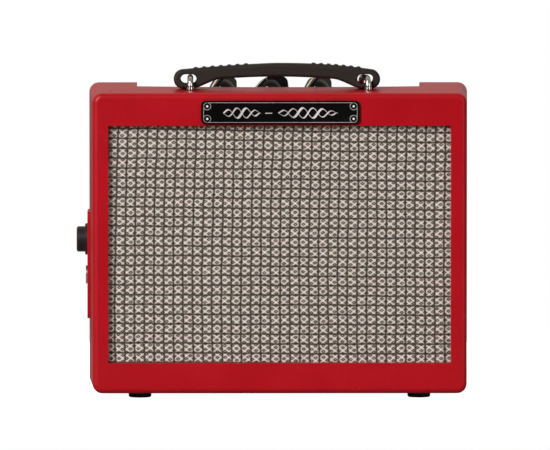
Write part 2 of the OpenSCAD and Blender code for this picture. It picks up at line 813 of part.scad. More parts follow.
module speaker_frame() {
    lip_r = baffle_hole_r - 1;
    color([0.2, 0.2, 0.21]) placed() difference() {
        union() {
            speaker_axis(flange_y) ring(flange_r, lip_r, flange_t);
            speaker_axis(flange_y) for (a = [45, 135])
                rotate([0, 0, a]) difference() {
                    union() {
                        for (s = [-1, 1]) translate([s * ear_place * sqrt(2), 0, 0]) disc(4.4, flange_t);
                        translate([-ear_place * sqrt(2), -4.4, 0]) cube([2 * ear_place * sqrt(2), 8.8, flange_t]);
                    }
                    translate([0, 0, -past]) disc(lip_r + 1, flange_t + 2 * past);
                }
            speaker_axis() rotate_extrude($fn = round_fn) polygon([
                [lip_r, flange_y], [lip_r + 1.2, flange_y + flange_t],
                [basket_end_r + 1.2, basket_back], [basket_end_r + 1.2, basket_back + flange_t],
                [coil_r + 2, basket_back + flange_t], [coil_r + 2, basket_back],
                [basket_end_r - 3, basket_back], [basket_end_r - 3, basket_back - 1],
                [basket_end_r + 0.2, basket_back - 1],
            ]);
            translate([-8, basket_back, speaker_z + basket_end_r - 2]) cube([16, flange_t, 11]);
        }
        for (a = [0, 90])
            speaker_axis(flange_y + 5) rotate([0, 0, a])
                translate([-11, -2 * flange_r, 0]) cube([22, 4 * flange_r, 10]);
        for (x = [-ear_place, ear_place], z = [-ear_place, ear_place])
            rearward(x, flange_y - past, speaker_z + z) disc(speaker_screw_r + fit_gap, flange_t + 2 * past);
        for (x = [-4, 4])
            rearward(x, basket_back - past, speaker_z + basket_end_r + 6) disc(0.8, flange_t + 2 * past);
    }
}

module speaker_surround() {
    roll_r = 2.1;
    roll_t = 0.5;
    roll_at = cone_edge_r + slack + 0.2 + roll_r;
    glue_y = flange_y - lip_t;
    color([0.12, 0.12, 0.12]) placed() speaker_axis(glue_y) rotate_extrude($fn = round_fn) {
        translate([roll_at, lip_t]) intersection() {
            difference() {
                circle(r = roll_r, $fn = round_fn / 2);
                circle(r = roll_r - roll_t, $fn = round_fn / 2);
            }
            translate([-2 * roll_r, -2 * roll_r]) square([4 * roll_r, 2 * roll_r]);
        }
        translate([roll_at + roll_r - roll_t, 0]) square([flange_r - 1 - roll_at - roll_r, lip_t]);
    }
}

module speaker_spider() {
    inner = coil_r + 0.8;
    wave = 0.9;
    waves = 3;
    steps = 24;
    t = 0.5;
    outer = basket_end_r;
    function height(i) = wave * (1 + sin(360 * waves * i / steps - 90)) / 2;
    color([0.7, 0.55, 0.3]) placed() speaker_axis(basket_back - 1 - t) rotate_extrude($fn = round_fn) {
        polygon(concat(
            [for (i = [0 : steps]) [inner + (outer - 3 - inner) * i / steps, -height(i)]],
            [for (i = [steps : -1 : 0]) [inner + (outer - 3 - inner) * i / steps, t - height(i)]]
        ));
        translate([outer - 3 - eps, 0]) square([2.8, t]);
    }
}

module speaker_screws() {
    color(steel) placed() for (x = [-ear_place, ear_place], z = [-ear_place, ear_place])
        rearward(x, flange_y + flange_t, speaker_z + z)
            pan_screw(speaker_screw_r, flange_y + flange_t - baffle_y - 0.4, 2 * speaker_screw_r, 1.4);
}

module top_plate() {
    color(steel) placed() speaker_axis(top_plate_y) ring(magnet_r - 0.8, coil_r + 0.9, top_plate_t);
}

module magnet_ring() {
    color([0.15, 0.15, 0.16]) placed() speaker_axis(magnet_y) ring(magnet_r, coil_r + 3, magnet_t);
}

module pole_yoke() {
    color(steel) placed() speaker_axis() difference() {
        union() {
            translate([0, 0, yoke_y]) disc(magnet_r - 0.8, yoke_t);
            translate([0, 0, top_plate_y]) disc(pole_r, yoke_y - top_plate_y + eps);
        }
        translate([0, 0, top_plate_y - past]) disc(2.5, yoke_y);
    }
}

module speaker_terminals() {
    color([0.45, 0.3, 0.15]) placed() {
        translate([-7.5, basket_back + flange_t, speaker_z + basket_end_r + 2]) cube([15, 1.2, 6.5]);
        for (x = [-4, 4])
            translate([x - 1, basket_back + flange_t + 1.2, speaker_z + basket_end_r + 4]) cube([2, 0.6, 6]);
    }
}

// The moving parts of the speaker: cone, dust cap and voice coil
module speaker_cone() {
    t = 0.7;
    edge_y = flange_y - 0.2;
    neck_y = flange_y + 11.5;
    color([0.1, 0.1, 0.1]) placed() speaker_axis() rotate_extrude($fn = round_fn) polygon([
        [cone_edge_r, edge_y], [coil_r + 0.05 + t, neck_y], [coil_r + 0.05 + t, neck_y + 1],
        [coil_r + 0.05, neck_y + 1], [coil_r + 0.05, neck_y - 0.2], [cone_edge_r - t, edge_y],
    ]);
}

module dust_cap() {
    base_r = 14.6;
    rise = 4.2;
    t = 0.6;
    ball_r = (pow(base_r, 2) + pow(rise, 2)) / (2 * rise);
    base_y = flange_y + 9.6;
    color([0.08, 0.08, 0.08]) placed() speaker_axis(base_y) rotate_extrude($fn = round_fn) intersection() {
        translate([0, ball_r - rise]) difference() {
            circle(r = ball_r, $fn = 2 * round_fn);
            circle(r = ball_r - t, $fn = 2 * round_fn);
        }
        translate([0, -2 * rise]) square([base_r, 2 * rise]);
    }
}

module voice_coil() {
    former_t = 0.3;
    former_y = flange_y + 11;
    color([0.75, 0.45, 0.2]) placed() speaker_axis() {
        translate([0, 0, former_y]) ring(coil_r, coil_r - former_t, top_plate_y + 3.5 - former_y);
        translate([0, 0, top_plate_y + 0.3]) ring(coil_r + 0.4, coil_r - former_t / 2, 3);
    }
}

// --- Side sockets -----------------------------------------------------------------------------
module socket_plate() {
    color(red) placed() difference() {
        union() {
            side_block(socket_plate_seat, socket_plate_x, [socket_plate_h, socket_plate_d], socket_plate_r);
            side_block(socket_pad_x, socket_plate_x - past, socket_pad, socket_pad_r);
        }
        leftward(socket_y, input_z) disc(input_thread_r + fit_gap, body_w);
        leftward(socket_y, phones_z) disc(phones_barrel_r + fit_gap, body_w);
        leftward(socket_y, power_z) disc(power_barrel_r + fit_gap, body_w);
    }
}

module input_jack() {
    block = [22, 16, 16];
    color(black) placed() difference() {
        union() {
            leftward(socket_y, input_z) translate([0, 0, socket_pad_x - past])
                disc(input_thread_r, jack_end_x - socket_pad_x + past);
            translate([-socket_pad_x, socket_y - block[1] / 2, input_z - block[2] / 2]) cube(block);
        }
        leftward(socket_y, input_z) translate([0, 0, input_bore_end]) disc(input_bore_r, body_w);
    }
}

module input_jack_nut() {
    flange = 1.2;
    nut_flange_r = 7.25;
    barrel_r = 5.85;
    chamfer = 0.6;
    color(black) placed() leftward(socket_y, input_z) translate([0, 0, socket_plate_x])
        rotate_extrude($fn = round_fn) polygon([
            [input_thread_r + fit_gap, 0], [nut_flange_r, 0], [nut_flange_r, flange - chamfer / 2],
            [nut_flange_r - chamfer, flange], [barrel_r, flange], [barrel_r, jack_reach - chamfer],
            [barrel_r - chamfer, jack_reach], [input_thread_r + fit_gap, jack_reach],
        ]);
}

module headphone_jack() {
    block = [13, 6.4, 6.4];
    color(black) placed() difference() {
        union() {
            leftward(socket_y, phones_z) translate([0, 0, socket_pad_x - past])
                disc(phones_barrel_r, socket_plate_x + 0.8 - socket_pad_x + past);
            translate([-socket_pad_x, socket_y - block[1] / 2, phones_z - block[2] / 2]) cube(block);
        }
        leftward(socket_y, phones_z) translate([0, 0, socket_plate_x - 14.2]) disc(phones_bore_r, body_w);
    }
}

module headphone_nut() {
    color(chrome) placed() leftward(socket_y, phones_z) translate([0, 0, socket_plate_x])
        ring(4.2, phones_barrel_r + fit_gap, 0.8);
}

module power_socket() {
    block = [11, 9, 9];
    depth = 9.5;
    color(black) placed() {
        difference() {
            union() {
                leftward(socket_y, power_z) translate([0, 0, socket_pad_x - past])
                    disc(power_barrel_r, socket_plate_x - socket_pad_x + past);
                translate([-socket_pad_x, socket_y - block[1] / 2, power_z - block[2] / 2]) cube(block);
            }
            leftward(socket_y, power_z) translate([0, 0, socket_plate_x - depth]) disc(power_hole_r, body_w);
        }
        leftward(socket_y, power_z) translate([0, 0, socket_plate_x - depth - eps]) disc(1.05, depth - 1);
    }
}

// --- Battery ----------------------------------------------------------------------------------
module battery() {
    color([0.2, 0.22, 0.25]) placed() {
        translate(battery_at) cube(battery_size);
        for (z = stud_z)
            translate([stud_x - eps, stud_y, z]) rotate([0, 90, 0]) disc(2.9, 2.4);
    }
}

module battery_snap() {
    snap = [4, 14, 25];
    color(black) placed() difference() {
        translate([stud_x + 0.3, stud_y - snap[1] / 2, battery_at[2] + battery_size[2] / 2 - snap[2] / 2])
            cube(snap);
        for (z = stud_z)
            translate([stud_x, stud_y, z]) rotate([0, 90, 0]) disc(3.2, 3);
    }
}

module battery_leads() {
    way_x = bay_half_w - 3.5;
    way_y = bay_y + 9;
    color([0.5, 0.05, 0.05]) placed() for (s = [-1, 1])
        lead([
            [stud_x + 4.9, way_y + s, stud_z[1] - 4],
            [way_x, way_y + s, stud_z[1]],
            [way_x, way_y + s, bay_z1 + 4],
            [way_x + 10, way_y + s, 75],
            [way_x + 12, way_y + s, 100],
            on_slope(way_x + 10, 2 + 2 * s, board_top - board_t - 0.7),
        ], 0.6);
}

module socket_leads() {
    gauge = 0.6;
    inside = 1.2;
    color([0.3, 0.3, 0.32]) placed() {
        for (s = [-1, 1])
            lead([
                [-socket_pad_x + 22.6, socket_y + 3 * s, input_z],
                [-socket_pad_x + 28, socket_y + 3 * s, input_z + 8],
                [-socket_pad_x + 36, socket_y + 2 * s, 98],
                on_slope(-36, 3 * s, board_top - board_t - 0.7),
            ], gauge);
        lead([
            [-socket_pad_x + 13.6, socket_y, phones_z],
            [-socket_pad_x + 29, socket_y + inside, phones_z + 2],
            [-socket_pad_x + 39, socket_y + inside, 90],
            on_slope(-31, 1, board_top - board_t - 0.7),
        ], gauge);
        lead([
            [-socket_pad_x + 11.6, socket_y, power_z],
            [-socket_pad_x + 32, socket_y + inside, power_z + 2],
            [-socket_pad_x + 44, socket_y + inside, 85],
            on_slope(-20, -6, board_top - board_t - 0.7),
        ], gauge);
    }
}

module speaker_leads() {
    lug_y = basket_back + flange_t + 2.4;
    color([0.1, 0.1, 0.4]) placed() for (s = [-1, 1])
        lead([
            [4 * s, lug_y, speaker_z + basket_end_r + 9],
            [4 * s, lug_y + 6, speaker_z + basket_end_r + 15],
            [5 * s, 44, 112],
            on_slope(5 * s, -9, board_top - board_t - 0.7),
        ], 0.6);
}

// --- Handle -----------------------------------------------------------------------------------
// Upper and lower edge of the handle at a distance u from its middle, as a share of the way out
// The grip has sagged a little to the left, so its top falls sooner there
sag_power = [1.35, 2.3];    // the higher, the later the top falls off, left and right
function handle_top(u) =
    handle_end_h + (handle_h - handle_end_h) * (1 - pow(abs(u), sag_power[u < 0 ? 0 : 1]));
rise_in = 0.6;              // where the finger gap has nearly its full height
rise_out = 0.89;            // where the underside comes down to the cabinet
underside_arch = 2.9;       // how far the underside would fall at the ends by its arch alone
function ease(t) = t * (1 + t - t * t);
function handle_base(u) =
    let (t = min(max((rise_out - abs(u)) / (rise_out - rise_in), 0), 1))
    ease(t) * (handle_gap - underside_arch * u * u);

module handle_outline() {
    steps = 40;
    polygon(concat(
        [for (i = [-steps : steps]) let (u = i / steps) [u * handle_flat, handle_top(u)]],
        [for (i = [steps : -1 : -steps]) let (u = i / steps) [u * handle_flat, handle_base(u)]]
    ));
    for (s = [-1, 1])
        translate([s * handle_flat, handle_end_h / 2]) circle(r = handle_end_h / 2, $fn = round_fn);
}

module handle() {
    color([0.14, 0.12, 0.11]) placed() translate([handle_shift, 0, handle_z]) difference() {
        union() {
            slab(handle_y - handle_w / 2, handle_w) handle_outline();
            for (side = [0, 1], i = [0 : ridge_count - 1])
                let (x = ridge_start[side] + i * ridge_pitch[side])
                slab(handle_y - handle_w / 2 + 1, handle_w - 2)
                    translate([x, handle_top(x / handle_flat) + ridge_h - ridge_w / 2])
                        rounded(ridge_w, ridge_w, ridge_h);
        }
        for (s = [-1, 1])
            slab(handle_y - handle_w, 2 * handle_w)
                translate([s * hole_span / 2, hole_z]) rounded(hole_l, hole_h, hole_h / 2 - eps);
    }
}

module handle_loops() {
    foot = top_z(handle_y) - wall - 4;
    knee = loop_z - loop_bend;
    color(chrome) placed() for (i = [0, 1])
        translate([(i - 0.5) * loop_span, handle_y - loop_leg, 0]) rotate([0, 0, loop_turn[i]])
        translate([0, loop_leg, 0]) {
        for (side = [-1, 1]) {
            translate([0, side * loop_leg, foot]) disc(wire_r, knee - foot);
            translate([0, side * (loop_leg - loop_bend), knee]) rotate([90, 0, 90])
                rotate([0, 0, side > 0 ? 0 : 90]) rotate_extrude(angle = 90, $fn = round_fn)
                    translate([loop_bend, 0]) circle(r = wire_r, $fn = round_fn / 2);
        }
        translate([0, loop_leg - loop_bend, loop_z]) rotate([90, 0, 0])
            disc(wire_r, 2 * (loop_leg - loop_bend));
    }
}

module loop_ferrules() {
    color(chrome) placed() for (p = loop_places)
        translate([p[0], p[1], top_z(p[1]) - seat_drop])
            ring(ferrule_r, wire_r + fit_gap, ferrule_h + seat_drop);
}

module loop_nuts() {
    color(steel) placed() for (p = loop_places)
        translate([p[0], p[1], top_z(p[1]) - wall - 2 + seat_drop - 0.1]) difference() {
            cylinder(r = loop_nut_r, h = 2, $fn = 6);
            translate([0, 0, -past]) disc(wire_r + fit_gap, 2 + 2 * past);
        }
}

// --- Feet -------------------------------------------------------------------------------------
module feet() {
    edge = 0.9;
    steps = 6;
    arc = [for (i = [0 : steps]) let (a = 90 * i / steps)
        [foot_r - edge + edge * sin(a), edge * (1 - cos(a))]];
    color(black) placed() for (p = foot_places)
        translate([p[0], p[1], 0]) rotate_extrude($fn = round_fn)
            polygon(concat([[0, 0]], arc, [[foot_r, foot_seat_z], [0, foot_seat_z]]));
}

cabinet();
rear_cover();
rear_screws();
baffle_board();
baffle_screws();
grille_cloth();
nameplate();
nameplate_pins();
control_panel();
panel_screws();
power_led();
volume_pot();
tone_pot();
drive_pot();
pot_washers();
pot_nuts();
volume_shaft();
tone_shaft();
drive_shaft();
volume_knob();
tone_knob();
drive_knob();
main_board();
board_screws();
amplifier_chip();
filter_capacitors();
resistors();
speaker_gasket();
speaker_frame();
speaker_surround();
speaker_spider();
speaker_screws();
top_plate();
magnet_ring();
pole_yoke();
speaker_terminals();
speaker_cone();
dust_cap();
voice_coil();
socket_plate();
input_jack();
input_jack_nut();
headphone_jack();
headphone_nut();
power_socket();
battery();
battery_snap();
battery_leads();
socket_leads();
speaker_leads();
battery_door();
handle();
handle_loops();
loop_ferrules();
loop_nuts();
feet();
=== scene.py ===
# Looks for the small guitar amplifier. Everything is in metres in the CAD frame. Lengths whose names
# end in _MM, and every length given to a material, are in millimetres.
import json
import math

import bmesh
import bpy
import numpy as np
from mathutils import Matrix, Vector
from mathutils.bvhtree import BVHTree


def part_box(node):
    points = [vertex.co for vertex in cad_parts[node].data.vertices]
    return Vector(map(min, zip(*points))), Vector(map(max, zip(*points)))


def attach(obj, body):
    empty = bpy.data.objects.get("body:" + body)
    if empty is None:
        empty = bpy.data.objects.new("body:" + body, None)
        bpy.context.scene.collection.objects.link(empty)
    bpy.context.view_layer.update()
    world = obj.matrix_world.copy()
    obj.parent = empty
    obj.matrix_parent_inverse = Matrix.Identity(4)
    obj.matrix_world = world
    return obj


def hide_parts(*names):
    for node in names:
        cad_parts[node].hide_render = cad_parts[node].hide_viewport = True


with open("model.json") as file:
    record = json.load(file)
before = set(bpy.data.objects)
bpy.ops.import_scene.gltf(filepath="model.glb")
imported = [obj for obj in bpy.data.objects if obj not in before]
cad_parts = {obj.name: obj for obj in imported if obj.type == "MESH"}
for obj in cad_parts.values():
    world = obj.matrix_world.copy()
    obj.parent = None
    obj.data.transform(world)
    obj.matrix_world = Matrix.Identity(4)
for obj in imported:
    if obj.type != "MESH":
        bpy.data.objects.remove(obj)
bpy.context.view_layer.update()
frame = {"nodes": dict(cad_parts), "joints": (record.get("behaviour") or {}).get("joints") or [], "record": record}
MM, MM_IN_M = 0.001, 1000.0
SCENE = bpy.context.scene
PANEL_SLOPE = math.radians(15.0)  # the control panel and the board fall to the rear


# --- Node graphs ---------------------------------------------------------------------------------
class Field:
    """A number that varies over a surface, as an output of a material's node graph."""

    def __init__(self, socket):
        self.socket = socket


def maths(operation, *values):
    """A Math node on fields and plain numbers."""
    tree = next(v.socket.id_data for v in values if isinstance(v, Field))
    node = tree.nodes.new("ShaderNodeMath")
    node.operation = operation
    for i, value in enumerate(values):
        if isinstance(value, Field):
            tree.links.new(value.socket, node.inputs[i])
        else:
            node.inputs[i].default_value = float(value)
    return Field(node.outputs[0])


for name, operation in (
    ("add", "ADD"),
    ("sub", "SUBTRACT"),
    ("mul", "MULTIPLY"),
    ("truediv", "DIVIDE"),
):
    setattr(Field, f"__{name}__", lambda a, b, op=operation: maths(op, a, b))
    setattr(Field, f"__r{name}__", lambda a, b, op=operation: maths(op, b, a))


def either(operation, on_arrays):
    """A function that works on fields with a Math node and on arrays with numpy."""

    def apply(*values):
        if any(isinstance(v, Field) for v in values):
            return maths(operation, *values)
        return on_arrays(*values)

    return apply


floor = either("FLOOR", np.floor)
sine = either("SINE", np.sin)
size = either("ABSOLUTE", np.abs)
most = either("MAXIMUM", np.maximum)
least = either("MINIMUM", np.minimum)
root = either("SQRT", np.sqrt)


def smooth(value, low, high):
    """0 at low and 1 at high, with a smooth step between. low may be above high."""
    t = most(least((value - low) / (high - low), 1.0), 0.0)
    return t * t * (3.0 - 2.0 * t)


class Surface:
    """A procedural material on a Principled shader. Sizes are in millimetres."""

    def __init__(self, name):
        self.material = bpy.data.materials.new(name)
        self.material.use_nodes = True
        self.tree = self.material.node_tree
        self.shader = self.tree.nodes["Principled BSDF"]
        self.place = self.node("ShaderNodeTexCoord").outputs["Object"]
        split = self.node("ShaderNodeSeparateXYZ", Vector=self.place)
        self.x, self.y, self.z = (Field(s) * MM_IN_M for s in split.outputs)

    def node(self, kind, options=None, **inputs):
        """Adds a node with its options and inputs."""
        node = self.tree.nodes.new(kind)
        for key, value in (options or {}).items():
            setattr(node, key, value)
        for key, value in inputs.items():
            self.plug(node.inputs[key], value)
        return node

    def plug(self, socket, value):
        """Links a field or an output to an input, or sets the input to a plain value."""
        if isinstance(value, Field):
            value = value.socket
        if isinstance(value, bpy.types.NodeSocket):
            self.tree.links.new(value, socket)
        elif isinstance(value, tuple) and len(socket.default_value) == 4:
            socket.default_value = (*value, 1.0)
        else:
            socket.default_value = value

    def stretched(self, stretch):
        """The place on the object, with each axis scaled."""
        if stretch is None:
            return self.place
        node = self.node("ShaderNodeVectorMath", {"operation": "MULTIPLY"})
        self.plug(node.inputs[0], self.place)
        node.inputs[1].default_value = stretch
        return node.outputs[0]

    def noise(self, across, detail=2.0, rough=0.5, stretch=None, warp=0.0):
        """Noise about 0.5, with features about this many millimetres across."""
        node = self.node(
            "ShaderNodeTexNoise",
            Vector=self.stretched(stretch),
            Scale=MM_IN_M / across,
            Detail=detail,
            Roughness=rough,
            Distortion=warp,
        )
        return Field(node.outputs[0])

    def cells(self, across, feature="F1"):
        """Distances in a pattern of random cells, 0 at a cell's middle (F1) or at its edge."""
        node = self.node(
            "ShaderNodeTexVoronoi",
            {"feature": feature},
            Vector=self.place,
            Scale=MM_IN_M / across,
        )
        return Field(node.outputs["Distance"])

    def scratches(self, across, seed):
        """Sparse hairlines, 1 on a line and 0 elsewhere."""
        lines = self.noise(across * 9, 1.0, 0.4, (1.0 + seed, 0.13 + seed, 1.7), 2.5)
        patch = self.noise(across * 14, 2.0)
        return smooth(size(lines - 0.5), 0.006, 0.0) * smooth(patch, 0.52, 0.62)

    def edges(self, radius):
        """1 along sharp edges, falling to 0 within about this radius."""
        bevel = self.node("ShaderNodeBevel", {"samples": 6}, Radius=radius * MM)
        dot = self.node("ShaderNodeVectorMath", {"operation": "DOT_PRODUCT"})
        self.plug(dot.inputs[0], bevel.outputs[0])
        self.plug(dot.inputs[1], self.node("ShaderNodeNewGeometry").outputs["Normal"])
        return smooth(Field(dot.outputs["Value"]), 0.995, 0.86)

    def mix(self, factor, a, b):
        """Colour a at 0 and b at 1."""
        node = self.node("ShaderNodeMix", {"data_type": "RGBA"})
        self.plug(node.inputs[0], factor)
        self.plug(node.inputs[6], a)
        self.plug(node.inputs[7], b)
        return node.outputs[2]

    def done(self, color, rough, height=None, depth=0.0, edge=0.0, **fixed):
        """Sets the shader. height, from 0 to 1, stands depth mm high, and edge is the radius in mm that
        sharp edges shade with."""
        self.plug(self.shader.inputs["Base Color"], color)
        self.plug(self.shader.inputs["Roughness"], rough)
        normal = None
        if edge:
            normal = self.node("ShaderNodeBevel", {"samples": 6}, Radius=edge * MM).outputs[0]
        if height is not None:
            bump = self.node("ShaderNodeBump", Height=height, Distance=depth * MM)
            if normal is not None:
                self.plug(bump.inputs["Normal"], normal)
            normal = bump.outputs[0]
        if normal is not None:
            self.plug(self.shader.inputs["Normal"], normal)
        for key, value in fixed.items():
            self.plug(self.shader.inputs[key.replace("_", " ")], value)
        return self.material


# --- Materials -----------------------------------------------------------------------------------
PIN_HEAD_R, FERRULE_R, FERRULE_H = 0.7, 1.6, 2.1  # as in part.scad, FERRULE_H with the seat's depth
BOARD_FALL = 0.27  # the board's slope, as a fall for each mm to the rear


def plastic(name, dark, light, rough, grain=0.5, depth=0.01, edge=0.25, spread=0.06, wear=None, **fixed):
    """Moulded plastic: fine grain, broad tone changes, hairlines, and rubbed edges if wear is a colour."""
    s = Surface(name)
    tone = smooth(s.noise(24.0, 3.0), 0.36, 0.64)
    fine = s.noise(grain, 2.0)
    marks = most(s.scratches(3.0, 0.0), s.scratches(2.2, 0.31))
    color = s.mix(tone, dark, light)
    if wear is not None:
        rub = s.edges(0.5) * smooth(s.noise(3.5, 4.0, 0.65), 0.44, 0.66)
        color = s.mix(rub * 0.55, color, wear)
        color = s.mix(marks * 0.18, color, wear)
    gloss = (s.noise(11.0, 4.0, 0.6) - 0.5) * (2.0 * spread) + fine * 0.04 + marks * 0.1 + (rough - 0.02)
    return s.done(color, gloss, fine - marks * 0.5, depth, edge, **fixed)


def metal(name, dark, light, rough, stretch=None, depth=0.002, edge=0.12, spread=0.08, **fixed):
    """Metal with drawn or brushed streaks along the short side of stretch, and a few dull spots."""
    s = Surface(name)
    streak = s.noise(0.5, 3.0, 0.6, stretch)
    cloud = smooth(s.noise(5.0, 4.0, 0.6), 0.35, 0.7)
    color = s.mix(streak * 0.6 + cloud * 0.4, dark, light)
    gloss = streak * spread + cloud * spread + (rough - spread)
    return s.done(color, gloss, streak, depth, edge, Metallic=1.0, **fixed)


def pin_metal():
    """The nameplate's pins: dull heads, with a painted highlight in the middle and painted shade to the rims."""
    s = Surface("pin")
    low, high = (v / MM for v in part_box("nameplate_pins"))
    across = size(size(s.x - (low.x + high.x) / 2) - ((high.x - low.x) / 2 - PIN_HEAD_R))
    along = size(size(s.z - (low.z + high.z) / 2) - ((high.z - low.z) / 2 - PIN_HEAD_R))
    highlight_to_rim_shade = smooth(root(across * across + along * along), 0.36, 0.6)
    grain = s.noise(0.3, 3.0)
    # The colour runs from near white in the middle, a painted highlight, to near black at the rim, painted shade
    color = s.mix(highlight_to_rim_shade, (0.95, 0.95, 0.94), (0.03, 0.028, 0.028))
    return s.done(color, grain * 0.1 + 0.55, grain, depth=0.002, edge=0.08, Metallic=0.6)


def ferrule_metal():
    """The loops' ferrules: chrome, with painted shade where they meet the loops and the cabinet's sloping top."""
    s = Surface("ferrule")
    low, high = (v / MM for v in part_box("loop_ferrules"))
    slope = (high.z - low.z - FERRULE_H) / (high.y - low.y - 2 * FERRULE_R)
    level = s.z - (s.y - (low.y + FERRULE_R)) * slope - low.z
    # Painted shade: the chrome turns near black where a ferrule meets its loop and the cabinet's top
    joint = most(smooth(level, 0.75, 0.45), smooth(level, FERRULE_H - 0.35, FERRULE_H - 0.1))
    grain = s.noise(0.4, 3.0, 0.6)
    color = s.mix(joint, s.mix(grain, (0.66, 0.64, 0.62), (0.82, 0.8, 0.78)), (0.03, 0.025, 0.025))
    return s.done(color, grain * 0.08 + 0.2, grain, depth=0.002, edge=0.1, Metallic=1.0)


def rubber(name, dark, light, rough, pebble=0.45, depth=0.03, edge=0.3, **fixed):
    """Rubber or leather-like skin: small pebbles with fine creases between them."""
    s = Surface(name)
    crease = smooth(s.cells(pebble, "DISTANCE_TO_EDGE"), 0.0, 0.3)
    fine = s.noise(pebble * 0.4, 3.0)
    tone = s.noise(7.0, 4.0, 0.6)
    color = s.mix(crease * 0.5 + tone * 0.5, dark, light)
    return s.done(color, tone * 0.16 - crease * 0.06 + rough, crease + fine * 0.5, depth, edge, **fixed)


def fibres(name, dark, light, rough, across=0.4, stretch=(0.25, 1.0, 1.0), depth=0.05, **fixed):
    """Pressed fibres, as in paper, hardboard and felt."""
    s = Surface(name)
    strand = s.noise(across, 4.0, 0.65, stretch, 1.2)
    blot = s.noise(4.0, 3.0)
    color = s.mix(smooth(strand * 0.65 + blot * 0.35, 0.38, 0.62), dark, light)
    return s.done(color, strand * 0.2 + rough, strand, depth, **fixed)


def circuit_board():
    """Green solder mask over a few routed tracks."""
    s = Surface("board")
    down = s.y - s.z * BOARD_FALL
    track_x = size(sine(s.x * 1.55 + floor(down / 3.1) * 2.1))
    track_y = size(sine(down * 1.9 + floor(s.x / 5.3) * 1.3))
    track = most(smooth(track_x, 0.25, 0.1), smooth(track_y, 0.25, 0.1)) * smooth(s.noise(6.0), 0.46, 0.52)
    weave_noise = s.noise(0.6, 2.0)
    color = s.mix(track, (0.008, 0.07, 0.022), (0.02, 0.17, 0.055))
    height = track + weave_noise * 0.2
    return s.done(color, weave_noise * 0.1 + 0.25, height, depth=0.03, edge=0.1, Coat_Weight=0.4)


def coil_winding():
    """Copper wire wound round the speaker's axis, on a paper former."""
    s = Surface("copper")
    turn = size(sine(s.y * (math.pi / 0.22)))
    color = s.mix(turn, (0.18, 0.05, 0.02), (0.62, 0.27, 0.12))
    return s.done(color, s.noise(2.0) * 0.2 + 0.25, turn, depth=0.08, Metallic=0.8)


def banded_resistor():
    """A lacquered resistor body with plain colour rings across it."""
    s = Surface("resistor")
    low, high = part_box("resistors")
    along = (s.y - (low.y + high.y) / 2 * MM_IN_M) * math.cos(PANEL_SLOPE)
    along = along - (s.z - (low.z + high.z) / 2 * MM_IN_M) * math.sin(PANEL_SLOPE)
    color = s.mix(s.noise(1.5, 3.0), (0.42, 0.3, 0.17), (0.58, 0.43, 0.27))
    bands = (
        (-1.9, (0.16, 0.05, 0.02)),
        (-0.9, (0.02, 0.02, 0.02)),
        (0.1, (0.35, 0.03, 0.02)),
        (1.8, (0.45, 0.3, 0.05)),
    )
    for at, band in bands:
        color = s.mix(smooth(size(along - at), 0.32, 0.22), color, band)
    gloss, grain = s.noise(0.8) * 0.2 + 0.3, s.noise(0.5, 3.0)
    return s.done(color, gloss, grain, depth=0.02, edge=0.15, Coat_Weight=0.3)


def battery_wrap():
    """A battery's metal case: a dark sleeve and a copper-coloured end."""
    s = Surface("battery_case")
    low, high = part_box("battery")
    share = (s.x - low.x * MM_IN_M) / ((high.x - low.x) * MM_IN_M)
    edge_noise = s.noise(6.0, 2.0)
    sleeve = s.mix(edge_noise, (0.018, 0.02, 0.026), (0.035, 0.038, 0.048))
    end = s.mix(edge_noise, (0.36, 0.17, 0.06), (0.5, 0.25, 0.1))
    line = smooth(size(share - 0.72), 0.012, 0.006)
    color = s.mix(smooth(share, 0.735, 0.74), sleeve, end)
    color = s.mix(line, color, (0.6, 0.58, 0.52))
    grain = s.noise(0.7, 3.0)
    gloss = edge_noise * 0.2 + 0.22
    return s.done(color, gloss, grain, depth=0.01, edge=0.6, Metallic=0.35, Coat_Weight=0.3)


def insulation(name, along, pieces):
    """Insulated leads in two or more colours: the colour changes with the place along one axis."""
    s = Surface(name)
    value = getattr(s, along)
    color = pieces[0][1]
    for at, other in pieces[1:]:
        color = s.mix(smooth(value, at - 0.01, at + 0.01), color, other)
    fine = s.noise(0.8, 3.0)
    color = s.mix(fine * 0.35, color, (0.02, 0.02, 0.02))
    return s.done(color, fine * 0.25 + 0.3, fine, depth=0.02)


def woven_spider():
    """The speaker's impregnated cloth suspension: a plain weave across the disc."""
    s = Surface("spider")
    over = sine(s.x * 6.3) * sine(s.z * 6.3)
    thread = most(size(sine(s.x * 6.3)), size(sine(s.z * 6.3)))
    color = s.mix(thread * 0.6 + s.noise(3.0, 3.0) * 0.4, (0.22, 0.12, 0.035), (0.5, 0.33, 0.13))
    gloss = s.noise(1.0) * 0.2 + 0.5
    return s.done(color, gloss, over * 0.5 + thread * 0.5, depth=0.12, Sheen_Weight=0.2)


def sintered():
    """Ferrite: dark grey, gritty, with pale chipped specks."""
    s = Surface("ferrite")
    grit = s.noise(0.35, 4.0, 0.7)
    chip = smooth(s.cells(2.4), 0.12, 0.04) * smooth(s.noise(5.0), 0.5, 0.6)
    color = s.mix(grit, (0.025, 0.025, 0.027), (0.085, 0.085, 0.09))
    color = s.mix(chip * 0.6, color, (0.2, 0.2, 0.2))
    return s.done(color, grit * 0.3 + 0.4, grit - chip, depth=0.05, edge=0.3)


def brushed_panel():
    """The control panel: aluminium brushed from side to side, with fingerprints."""
    s = Surface("panel")
    brush = s.noise(0.35, 3.0, 0.7, (0.025, 1.0, 1.0))
    print_haze = smooth(s.noise(9.0, 4.0, 0.6), 0.5, 0.68)
    color = s.mix(brush, (0.5, 0.49, 0.47), (0.78, 0.77, 0.74))
    gloss = brush * 0.2 + print_haze * 0.12 + 0.2
    return s.done(color, gloss, brush, depth=0.006, edge=0.15, Metallic=0.9)


